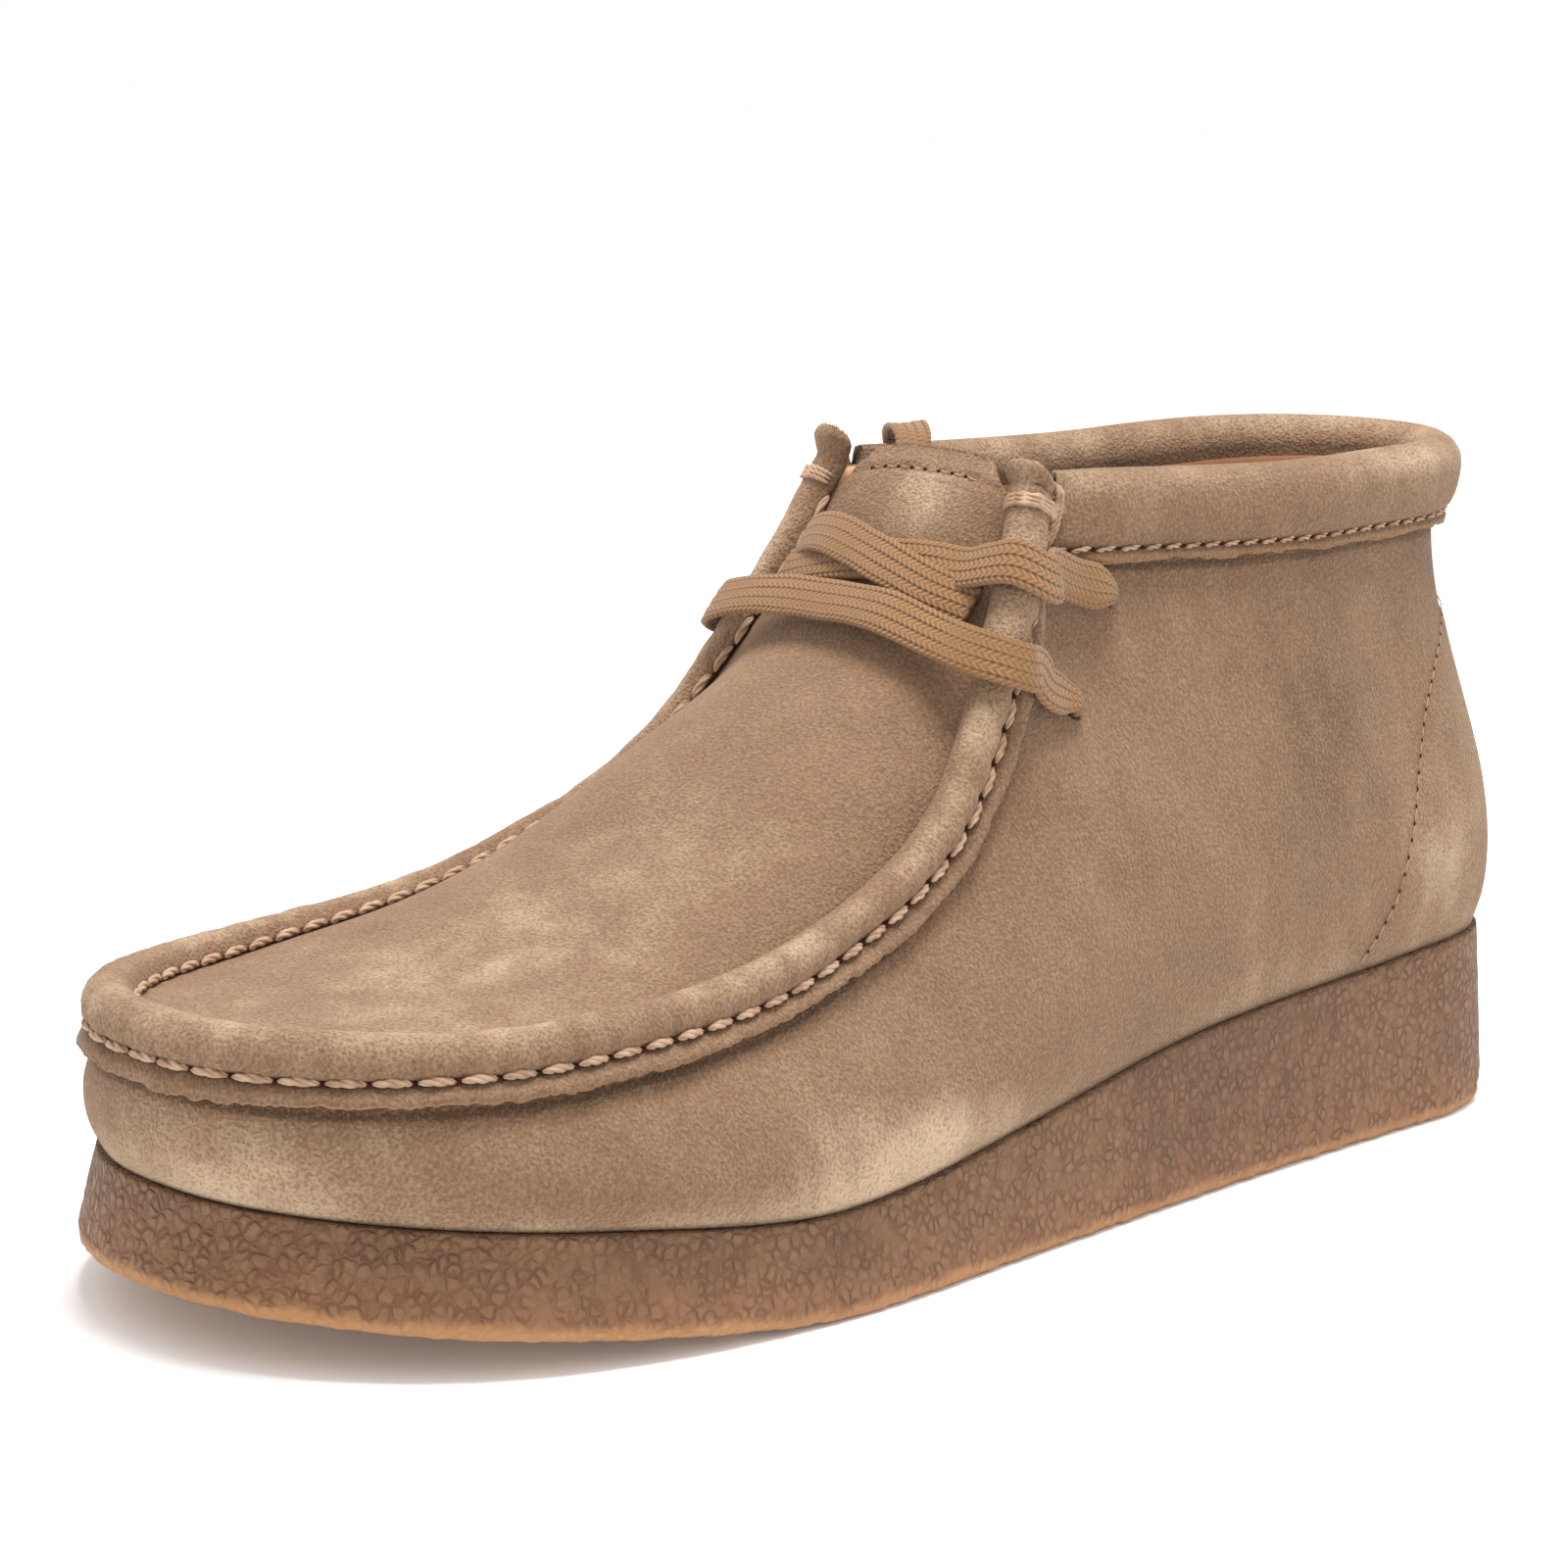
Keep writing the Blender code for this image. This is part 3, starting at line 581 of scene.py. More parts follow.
def skin(loop, up):
    """Points on the outside of the wall and their outward normals, for loops and ups in pairs."""
    loop, up = in_pairs(loop, up)
    along = skin_point(loop + STEP, up) - skin_point(loop - STEP, up)
    rise = skin_point(loop, up + STEP) - skin_point(loop, up - STEP)
    return skin_point(loop, up), unit(np.cross(rise, along))


def skin_near(aims, loops, ups):
    """The wall's points nearest to the aims and their outward normals, in steps from a first guess."""
    for _ in range(8):
        here = skin_point(loops, ups)
        along = (skin_point(loops + STEP, ups) - here) / STEP
        rise = (skin_point(loops, ups + STEP) - here) / STEP
        miss = aims - here
        aa, ar, rr = (along * along).sum(1), (along * rise).sum(1), (rise * rise).sum(1)
        am, rm = (along * miss).sum(1), (rise * miss).sum(1)
        scale = np.maximum(aa * rr - ar * ar, 1e-18)
        loops = loops + np.clip((rr * am - ar * rm) / scale, -0.01, 0.01)
        ups = np.minimum(ups + np.clip((aa * rm - ar * am) / scale, -0.01, 0.01), 1)
    return skin(loops, ups)


def plug_skin(rib, across):
    """Points on the plug or the tongue and their outward normals, for ribs and places across in pairs."""
    rib, across = in_pairs(rib, across)
    around = across[:, None] + np.array([-STEP, 0, STEP])
    here = plug(rib, around)
    along = plug(rib + STEP, around)[:, 1] - plug(rib - STEP, around)[:, 1]
    return here[:, 1], unit(np.cross(here[:, 2] - here[:, 0], along))


def share_a_metre(loops):
    """Share of the way up the wall that a metre takes up just below its top edge, for each loop."""
    near = wall(*fold(loops), np.array([1 - TOP_SPAN, 1.0]))
    return TOP_SPAN / np.linalg.norm(near[:, 1] - near[:, 0], axis=1)


def even_loops(start, end, count, line):
    """Loops from start to end at equal distances along a line, given as a function of the loop."""
    fine = start + (end - start) * np.linspace(0, 1, 6001)
    run = run_along(line(fine))
    return np.interp(np.linspace(0, run[-1], count), run, fine)


def line_length(line):
    return float(np.linalg.norm(np.diff(line, axis=0), axis=1).sum())


def foot_line(loop, grow=0.0):
    """The sole's top outline, moved out by grow."""
    return outline(*fold(loop), np.full(len(loop), grow))[0]


def seam_line(loop):
    """The leather's top edge: the collar, the facing and the moccasin seam."""
    return top_edge(*fold(loop))


# The part stands over the middle of its footprint, so all points above move by this much
SOLE_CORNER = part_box("outsole")[1]
WIDEST = foot_line(even_loops(0, 1, 2000, foot_line), SOLE_FLARE)[:, 0].max()
MOVE = np.array([SOLE_CORNER.x - WIDEST, SOLE_CORNER.y - SOLE_LENGTH / 2 - SOLE_FLARE, 0])


def colour(red, green, blue):
    """Linear colour of the 0 to 255 values that a screen shows."""
    share = np.array([red, green, blue]) / 255
    linear = np.where(share <= 0.04045, share / 12.92, ((share + 0.055) / 1.055) ** 2.4)
    return (*(float(value) for value in linear), 1.0)


class Paint:
    """A material that is built up node by node round its Principled shader."""

    def __init__(self, name, **constants):
        self.material = bpy.data.materials.new(name)
        self.material.use_nodes = True
        self.tree = self.material.node_tree
        self.shader = self.tree.nodes["Principled BSDF"]
        for socket, value in constants.items():
            self.shader.inputs[socket.replace("_", " ")].default_value = value
        self.place = self.node("ShaderNodeTexCoord").outputs["Object"]

    def node(self, kind, inputs=(), **settings):
        node = self.tree.nodes.new(kind)
        for name, value in settings.items():
            setattr(node, name, value)
        for socket, value in dict(inputs).items():
            if isinstance(value, bpy.types.NodeSocket):
                self.tree.links.new(value, node.inputs[socket])
            else:
                node.inputs[socket].default_value = value
        return node

    def noise(self, scale, detail=3.0, stretch=(1, 1, 1)):
        place = self.node("ShaderNodeMapping", {"Vector": self.place, "Scale": stretch}).outputs[0]
        inputs = {"Vector": place, "Scale": scale, "Detail": detail, "Roughness": 0.55}
        return self.node("ShaderNodeTexNoise", inputs).outputs["Fac"]

    def maths(self, operation, first, second=0.0, third=0.0):
        inputs = {0: first, 1: second, 2: third}
        return self.node("ShaderNodeMath", inputs, operation=operation).outputs[0]

    def fade(self, value, low, high, start=0.0, end=1.0):
        inputs = {"Value": value, "From Min": low, "From Max": high, "To Min": start, "To Max": end}
        return self.node("ShaderNodeMapRange", inputs, interpolation_type="SMOOTHSTEP").outputs[0]

    def blend(self, share, first, second):
        inputs = {0: share, 6: first, 7: second}
        return self.node("ShaderNodeMix", inputs, data_type="RGBA").outputs[2]

    def part(self, mask, strength, base, second):
        """A colour laid over the base by a mask at some strength."""
        return self.blend(self.maths("MULTIPLY", mask, strength), base, second)

    def value(self, name):
        return self.node("ShaderNodeAttribute", attribute_name=name).outputs["Fac"]

    def bump(self, height, distance, strength=1.0, under=None):
        inputs = {"Height": height, "Distance": distance, "Strength": strength}
        if under:
            inputs["Normal"] = under
        return self.node("ShaderNodeBump", inputs).outputs[0]

    def finish(self, base, roughness=None, normal=None):
        for socket, value in {"Base Color": base, "Roughness": roughness, "Normal": normal}.items():
            if value is not None:
                self.tree.links.new(value, self.shader.inputs[socket])
        return self.material


def suede(name, dark, middle, light):
    """Worn suede: cloudy mottling, a fine wormy nap, and a value per point that is above zero at lighter
    rubbed places and below zero at darker rubbed ones and at painted shade.
    """
    paint = Paint(name, Roughness=0.9, Specular_IOR_Level=0.25, Sheen_Weight=0.22, Sheen_Roughness=0.45)
    paint.shader.inputs["Sheen Tint"].default_value = colour(235, 215, 190)
    cloud = paint.noise(24, 4)
    blotch = paint.noise(85, 5)
    streak = paint.noise(150, 3, (1, 1, 0.28))
    nap = paint.noise(1750, 2)
    fluff = paint.noise(4200, 1)
    speck = paint.fade(paint.noise(620, 2), 0.68, 0.74)
    wear_and_shade = paint.value("wear_and_shade")
    level = paint.maths("MULTIPLY_ADD", cloud, 0.50, 0.25)
    # Each noise adds as much as it takes away
    for layer, weight in ((blotch, 0.40), (streak, 0.30), (nap, 0.22)):
        level = paint.maths("MULTIPLY_ADD", layer, weight, paint.maths("ADD", level, -weight / 2))
    level = paint.maths("MULTIPLY_ADD", wear_and_shade, 0.50, level)
    base = paint.blend(paint.fade(level, 0.05, 0.55), dark, middle)
    base = paint.blend(paint.fade(level, 0.50, 1.10), base, light)
    pits = paint.fade(nap, 0.32, 0.54, 1.0, 0.0)
    tips = paint.fade(nap, 0.50, 0.70)
    for mask, strength, second in ((pits, 0.36, dark), (tips, 0.14, light), (speck, 0.40, dark)):
        base = paint.part(mask, strength, base, second)
    grooves = paint.bump(nap, 0.55 * MM)
    soft = paint.bump(fluff, 0.08 * MM, 0.5, grooves)
    wrinkles = paint.bump(paint.noise(330, 3), 0.14 * MM, 0.5, soft)
    return paint.finish(base, normal=wrinkles)


def crepe():
    """Pebbled crepe rubber: rounded crumbs with thin reddish cracks, amber along the tread's edge."""
    paint = Paint("crepe_rubber", Roughness=0.55, Specular_IOR_Level=0.38)
    bending = {"Vector": paint.place, "Scale": 420.0, "Detail": 3.0}
    shift = paint.node("ShaderNodeTexNoise", bending).outputs["Color"]
    inputs = {0: shift, 1: (1.6 * MM, 1.6 * MM, 1.6 * MM), 2: paint.place}
    bent = paint.node("ShaderNodeVectorMath", inputs, operation="MULTIPLY_ADD").outputs[0]
    cells = {"Vector": bent, "Scale": 500.0, "Randomness": 1.0}
    edge = paint.node("ShaderNodeTexVoronoi", cells, feature="DISTANCE_TO_EDGE").outputs["Distance"]
    pebble = paint.node("ShaderNodeTexVoronoi", cells, feature="F1").outputs
    where = paint.noise(300, 2)
    open_crack = paint.fade(where, 0.38, 0.60)
    dome = paint.fade(pebble["Distance"], 0.10, 0.72, 1.0, 0.0)
    shoulder = paint.fade(edge, 0.0, 0.22)
    crumb = paint.maths("MULTIPLY_ADD", shoulder, 0.50, paint.maths("MULTIPLY", dome, 0.50))
    crack = paint.maths("MULTIPLY", paint.fade(edge, 0.0, 0.16, 1.0, 0.0), open_crack)
    rise = paint.value("rise")
    edge_rise = paint.maths("MULTIPLY_ADD", paint.noise(170, 3), 2.6, paint.maths("ADD", rise, -1.3))
    amber = paint.fade(edge_rise, 1.2, 3.6, 1.0, 0.0)
    warm = paint.fade(edge_rise, 2.0, 12.0, 1.0, 0.0)
    cloud = paint.fade(paint.noise(34, 3), 0.35, 0.65)
    base = paint.blend(cloud, colour(98, 68, 45), colour(115, 82, 56))
    base = paint.part(warm, 0.40, base, colour(144, 98, 66))
    shade = paint.node("ShaderNodeSeparateColor", {"Color": pebble["Color"]}).outputs[0]
    base = paint.part(shade, 0.22, base, colour(136, 101, 71))
    base = paint.part(crack, 0.55, base, colour(92, 50, 32))
    base = paint.part(amber, 0.62, base, colour(178, 130, 84))
    depth = paint.maths("MULTIPLY", crumb, paint.fade(where, 0.30, 0.62, 0.45, 1.0))
    relief = paint.bump(depth, 0.70 * MM, paint.fade(amber, 0.0, 1.0, 1.0, 0.45))
    fine = paint.bump(paint.noise(1500, 2), 0.05 * MM, 0.5, relief)
    return paint.finish(base, paint.fade(crumb, 0, 1, 0.75, 0.58), fine)


def braid():
    """Flat braided cotton: lengthwise columns of slanting strands; across and along are in millimetres."""
    paint = Paint("braided_lace", Roughness=0.86, Specular_IOR_Level=0.2, Sheen_Weight=0.15)
    across = paint.value("across")
    along = paint.value("along")
    column = paint.maths("MULTIPLY_ADD", across, 1 / BRAID_COLUMN, 8.5)
    local = paint.maths("ABSOLUTE", paint.maths("SUBTRACT", paint.maths("FRACT", column), 0.5))
    phase = paint.maths("MULTIPLY_ADD", local, 1.5, paint.maths("MULTIPLY", along, 1 / BRAID_PITCH))
    strand = paint.maths("SINE", paint.maths("MULTIPLY", phase, 2 * math.pi))
    strand = paint.maths("MULTIPLY_ADD", strand, 0.5, 0.5)
    valley = paint.fade(local, 0.30, 0.50, 1.0, 0.0)
    height = paint.maths("MULTIPLY_ADD", strand, 0.55, paint.maths("MULTIPLY", valley, 0.6))
    fibre = paint.noise(2600, 2)
    # Painted shade and highlight: dark low in the valleys between the columns and light on the strands'
    # crests, from the height that also drives the bump
    base = paint.blend(paint.fade(height, 0.15, 1.05), colour(56, 34, 18), colour(142, 104, 68))
    base = paint.blend(paint.fade(paint.noise(70, 3), 0.35, 0.7), base, colour(120, 86, 54))
    base = paint.part(fibre, 0.25, base, colour(156, 120, 82))
    woven = paint.bump(height, 0.30 * MM, 0.9)
    return paint.finish(base, normal=paint.bump(fibre, 0.05 * MM, 0.5, woven))


def yarn(name, shade):
    """Waxed thread with a little dirt."""
    paint = Paint(name, Roughness=0.62, Specular_IOR_Level=0.3)
    dirt = paint.fade(paint.noise(420, 2), 0.35, 0.75)
    base = paint.blend(dirt, shade, colour(146, 112, 86))
    return paint.finish(base, normal=paint.bump(paint.noise(3800, 2), 0.05 * MM, 0.6))


def plain_leather(name, dark, light):
    """Smooth lining leather with soft clouds and fine pores."""
    paint = Paint(name, Roughness=0.68, Specular_IOR_Level=0.3)
    cloud = paint.fade(paint.noise(40, 4), 0.3, 0.7)
    level = paint.maths("MULTIPLY_ADD", paint.value("wear_and_shade"), 0.5, cloud)
    base = paint.blend(paint.maths("MINIMUM", paint.maths("MAXIMUM", level, 0.0), 1.0), dark, light)
    pores = paint.noise(1700, 2)
    return paint.finish(base, normal=paint.bump(pores, 0.06 * MM, 0.5))


def painted_hole_shade():
    """Painted shade inside a needle hole."""
    paint = Paint("hole_shade", Roughness=1.0, Specular_IOR_Level=0.0)
    return paint.finish(paint.blend(paint.noise(900, 2), colour(44, 22, 14), colour(70, 38, 26)))


def make_floor_paint():
    paint = Paint("pale_floor", Roughness=0.9, Specular_IOR_Level=0.0, Emission_Strength=0.06)
    paint.shader.inputs["Emission Color"].default_value = (1, 1, 1, 1)
    return paint.finish(paint.blend(paint.noise(3, 1), colour(246, 246, 246), colour(250, 250, 250)))


SUEDE = suede("sand_suede", colour(84, 60, 41), colour(125, 96, 73), colour(188, 163, 134))
ROUGH_EDGE = suede("raw_edge", colour(92, 62, 40), colour(132, 98, 70), colour(172, 140, 108))
LINING = plain_leather("lining_leather", colour(204, 150, 112), colour(222, 172, 134))
FOOTBED = plain_leather("footbed_leather", colour(138, 104, 78), colour(164, 127, 97))
CREPE = crepe()
BRAID = braid()
THREAD = yarn("seam_thread", colour(176, 147, 122))
FINE_THREAD = yarn("fine_thread", colour(176, 142, 108))
HOLE_SHADE = painted_hole_shade()


def make_piece(name, points, faces, materials, slot, values=(), node=(), finishes=None):
    """A mesh that rides with the boot, from points before MOVE.

    Values are named numbers per point, node is the CAD nodes that it replaces, and finishes says which of
    the materials each face has.
    """
    mesh = bpy.data.meshes.new(name)
    mesh.from_pydata((np.asarray(points) + MOVE).tolist(), [], [tuple(face) for face in faces])
    for material in materials:
        mesh.materials.append(material)
    for key, value in dict(values).items():
        layer = mesh.attributes.new(key, "FLOAT", "POINT")
        layer.data.foreach_set("value", np.ascontiguousarray(value, np.float32))
    piece = bpy.data.objects.new(name, mesh)
    bpy.context.scene.collection.objects.link(piece)
    mesh.shade_smooth()
    if finishes is not None:
        mesh.polygons.foreach_set("material_index", np.asarray(finishes, np.int32))
    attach(piece, "root")
    if node:
        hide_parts(*node)
    return piece


def grid(rows, columns, start=0, closed_rows=False, closed_columns=False):
    """Quads of a grid of points, row by row, as an array of four corners."""
    row = np.arange(rows if closed_rows else rows - 1)[:, None]
    column = np.arange(columns if closed_columns else columns - 1)[None, :]
    ahead = (row + 1) % rows
    after = (column + 1) % columns
    here = row * columns
    there = ahead * columns
    corners = [here + column, here + after, there + after, there + column]
    return start + np.stack(np.broadcast_arrays(*corners), axis=-1).reshape(-1, 4)


def tube_faces(rings, width, start=0):
    """Faces of a closed tube of rings, with an end face at each end."""
    faces = [tuple(face) for face in grid(rings, width, start, closed_columns=True)]
    faces.append(tuple(start + k for k in range(width))[::-1])
    faces.append(tuple(start + (rings - 1) * width + k for k in range(width)))
    return faces


def near_segment(points, start, end):
    """Distance of each point from the straight line between two places, and its share of the way along."""
    along = end - start
    share = np.clip((points - start) @ along / (along @ along), 0, 1)
    return np.linalg.norm(points - start - share[:, None] * along, axis=1), share


def crease_heights(points, ends):
    """Sum of soft troughs and ridges, fading at their ends: rows of start, end, half width, height."""
    height = np.zeros(len(points))
    for start, end, half_width, top in ends:
        distance, share = near_segment(points, start, end)
        height += top * np.exp(-((distance / half_width) ** 2)) * np.sin(np.pi * (0.15 + 0.7 * share))
    return height


def patches(points, rows):
    """Sum of soft patches: rows of centre, half length, half height and tone."""
    wear_and_shade = np.zeros(len(points))
    for centre, half_length, half_height, strength in rows:
        away = points - centre
        level = np.hypot(away[:, 0], away[:, 1]) / half_length
        wear_and_shade += strength * np.exp(-(level**2) - (away[:, 2] / half_height) ** 2)
    return wear_and_shade


def wall_spot(side, rib, up):
    return skin([rib if side > 0 else 2 - rib], [up])[0][0]


def plug_spot(rib, across):
    return plug_skin([rib], [across])[0][0]


def crease_rows(spot, table):
    """A table of creases as places, half widths and heights in metres."""
    return [(spot(*start), spot(*end), width * MM, top * MM) for start, end, width, top in table]


def patch_rows(spot, table):
    """A table of worn patches as centres, half lengths and half heights in metres, and tones."""
    return [(spot(*row[:-3]), row[-3] * MM, row[-2] * MM, row[-1]) for row in table]


def near_values(values, centres, reach, count):
    """The values with a finer run of them round each centre."""
    far = [value for value in values if np.min(np.abs(value - centres)) > reach]
    fine = [np.linspace(centre - reach, centre + reach, count) for centre in centres]
    return np.sort(np.concatenate([far] + fine))


def punch(points, faces, centres):
    """Moves the grid out of round lace holes and leaves out the faces inside them."""
    radius = EYELET_DIAMETER / 2
    start = 0.45 * radius
    reach = 2.4 * radius
    middle = points[faces].mean(axis=1)
    kept = np.ones(len(faces), bool)
    for centre in centres:
        kept &= np.linalg.norm(middle - centre, axis=1) > start
    moved = points.copy()
    for centre in centres:
        away = points - centre
        distance = np.linalg.norm(away, axis=1)
        near = distance < reach
        share = (np.maximum(distance[near], start) - start) / (reach - start)
        new = radius + share * (reach - radius)
        moved[near] = centre + away[near] / np.maximum(distance[near], 1e-9)[:, None] * new[:, None]
    return moved, faces[kept]


def make_wrap():
    """The wrap: one leather wall round heel and toe, with creases, worn places, painted shadow lines below
    the flange and the collar band, and four lace holes.
    """
    base = even_loops(0, 2, 421, foot_line)[:-1]
    holes = np.array([rib for rib, _ in EYELETS] + [2 - rib for rib, _ in EYELETS])
    # The grid is finer round the lace holes
    loops = near_values(base, holes, 0.017, 27)
    heights = near_values(1 - (1 - np.linspace(0, 1, 36)) ** 1.1, EYELETS[:, 1], 0.045, 13)
    rib, side = fold(loops)
    points = wall(rib, side, heights).reshape(-1, 3)
    loop_at = np.repeat(loops, len(heights))
    up_at = np.tile(heights, len(loops))
    normal = skin(loop_at, up_at)[1]
    creases = [((side, a, b), (side, c, d), width, top) for side, a, b, c, d, width, top in CREASES]
    relief = crease_heights(points, crease_rows(wall_spot, creases))
    along = loop_at * LOOP_MM
    relief += 0.12 * MM * wander(along, 9, 3) * wander(up_at * 100, 17, 4)
    rib_at = fold(loop_at)[0]
    behind = counter_up(rib_at) - up_at
    # The heel counter stands a little proud inside its stitch line
    relief += 0.45 * MM * ease(behind * 40) * ease((0.22 - rib_at) * 60)
    # Nothing moves at the sole and at the top edge
    relief *= ease(up_at * 12) * ease((1 - up_at) * 14)
    wear_and_shade = patches(points, patch_rows(wall_spot, WEAR))
    wear_and_shade = wear_and_shade * (1 + 0.35 * wander(along, 6, 5) * wander(up_at * 90, 7, 6))
    dusty = 0.16 * np.exp(-((up_at / 0.10) ** 2)) * (1 + 0.5 * wander(along, 14, 7))
    down = np.linalg.norm(points - seam_line(loop_at), axis=1)
    # Painted shadow: darker lines on the wall just below the edges of the flange and of the collar band
    flange_shadow = -1.1 * bell(down, FLANGE_SHADOW_DOWN, 0.9 * MM) * (rib_at > FACING + 0.02)
    collar_shadow = -0.8 * bell(down, COLLAR_SHADOW_DOWN, 0.9 * MM) * (rib_at < FACING - 0.03)
    wear_and_shade = wear_and_shade + dusty + flange_shadow + collar_shadow
    points = points + normal * relief[:, None]
    faces = grid(len(loops), len(heights), closed_rows=True)
    centres = np.array([wall_spot(way, r, u) for r, u in EYELETS for way in (1, -1)])
    points, faces = punch(points, faces, centres)
    wrap = make_piece("suede_wrap", points, faces, [SUEDE, LINING], "suede", {"wear_and_shade": wear_and_shade}, ["upper"])
    add_leather(wrap)


def add_leather(piece):
    """Gives a leather sheet its thickness inwards, with the lining's finish on its inner face."""
    shell = piece.modifiers.new("leather thickness", "SOLIDIFY")
    shell.thickness = LEATHER
    shell.offset = -1
    shell.use_even_offset = True
    shell.use_quality_normals = True
    shell.material_offset = 1


def counter_up(rib):
    """Height of the heel counter's stitch line, as a share up the wall, over the ribs that it covers."""
    order = np.argsort(COUNTER[:, 0])
    return np.interp(rib, COUNTER[order, 0], COUNTER[order, 1], right=-1)


def tongue_share(rib, column):
    """Share of the width that the tongue leaves free at one side: its table and the slit by the wrap."""
    width = np.linalg.norm(top_edge(rib, 1) - top_edge(rib, -1), axis=1)
    free = spline(TONGUE_EDGE, column, np.clip(rib, FACING, THROAT))
    return free + TONGUE_SLIT / np.maximum(width, TONGUE_SLIT) * ease((THROAT + 0.012 - rib) / 0.012)


def make_plug():
    """The toe's top and the tongue: one leather, from under the seam at the toe up to the tongue's hem."""
    throat = np.linspace(FACING, 0.56, 70)
    vamp = np.linspace(0.56, 0.97, 120)[1:]
    toe = np.linspace(0.97, 0.9995, 16)[1:]
    ribs = np.concatenate([throat, vamp, toe])
    first = tongue_share(ribs, 1)
    last = 1 - tongue_share(ribs, 2)
    even = np.linspace(0, 1, 57)
    share = (1 - np.cos(np.pi * even)) / 2 * 0.6 + even * 0.4
    across = first[:, None] + (last - first)[:, None] * share
    points = plug(ribs, across).reshape(-1, 3)
    rib_at = np.repeat(ribs, across.shape[1])
    normal = plug_skin(np.clip(rib_at, FACING + 0.002, 0.998), across.ravel())[1]
    creases = [((a, b), (c, d), width, top) for a, b, c, d, width, top in PLUG_CREASES]
    relief = crease_heights(points, crease_rows(plug_spot, creases))
    relief += 0.14 * MM * wander(rib_at * LOOP_MM, 11, 13) * wander(across.ravel() * 70, 13, 14)
    hem = np.linalg.norm(points - plug(np.full(len(rib_at), FACING), across.reshape(-1, 1))[:, 0], axis=1)
    at_hem = rib_at < 0.47
    # A groove along the hem's stitches, and a thinner edge above it
    relief -= 0.45 * MM * bell(hem, TONGUE_HEM, 0.8 * MM) * at_hem
    relief -= 0.9 * MM * ease(1 - hem / TONGUE_HEM) * at_hem
    wear_and_shade = patches(points, patch_rows(plug_spot, PLUG_WEAR)) * (1 + 0.3 * wander(rib_at * LOOP_MM, 7, 15))
    faces = grid(len(ribs), across.shape[1])
    piece = make_piece(
        "suede_plug_and_tongue", points + normal * relief[:, None], faces, [SUEDE, LINING], "suede",
        {"wear_and_shade": wear_and_shade}, ["upper", "tongue"],
    )
    add_leather(piece)


def search_tree(points):
    """A grid of points as a surface to search."""
    faces = grid(*points.shape[:2])
    return BVHTree.FromPolygons([Vector(point) for point in points.reshape(-1, 3)], faces.tolist())


def plug_tree():
    """Fine surface of the plug and the tongue, carried on above the facing, to seat the seam on."""
    points = plug(np.linspace(FACING, 1.0, 260), np.linspace(0, 1, 81))
    above = points[0] + (points[0] - points[4]) * 3
    return search_tree(np.concatenate([above[None], points]))


# How near to the toe's tip, in loops, the wall's nearest point is looked up and not stepped to
TIP_REACH = 0.004


def tip_tree():
    """Fine surface of the top of the wall round the toe's tip, where loops lie too close for steps."""
    loops = even_loops(1 - 4 * TIP_REACH, 1 + 4 * TIP_REACH, 241, seam_line)
    return search_tree(wall(*fold(loops), np.linspace(0.6, 1.0, 61)))


PLUG_TREE = plug_tree()
TIP_TREE = tip_tree()


def hit(start, direction, level):
    """Where a ray meets the plug, or its nearest height there if it passes beside the plug's edge."""
    spot = PLUG_TREE.ray_cast(Vector(start), Vector(direction))[0]
    if spot is None:
        near = np.array(PLUG_TREE.find_nearest(Vector(level))[0])
        spot = level + direction * np.dot(near - level, direction)
    return np.array(spot)


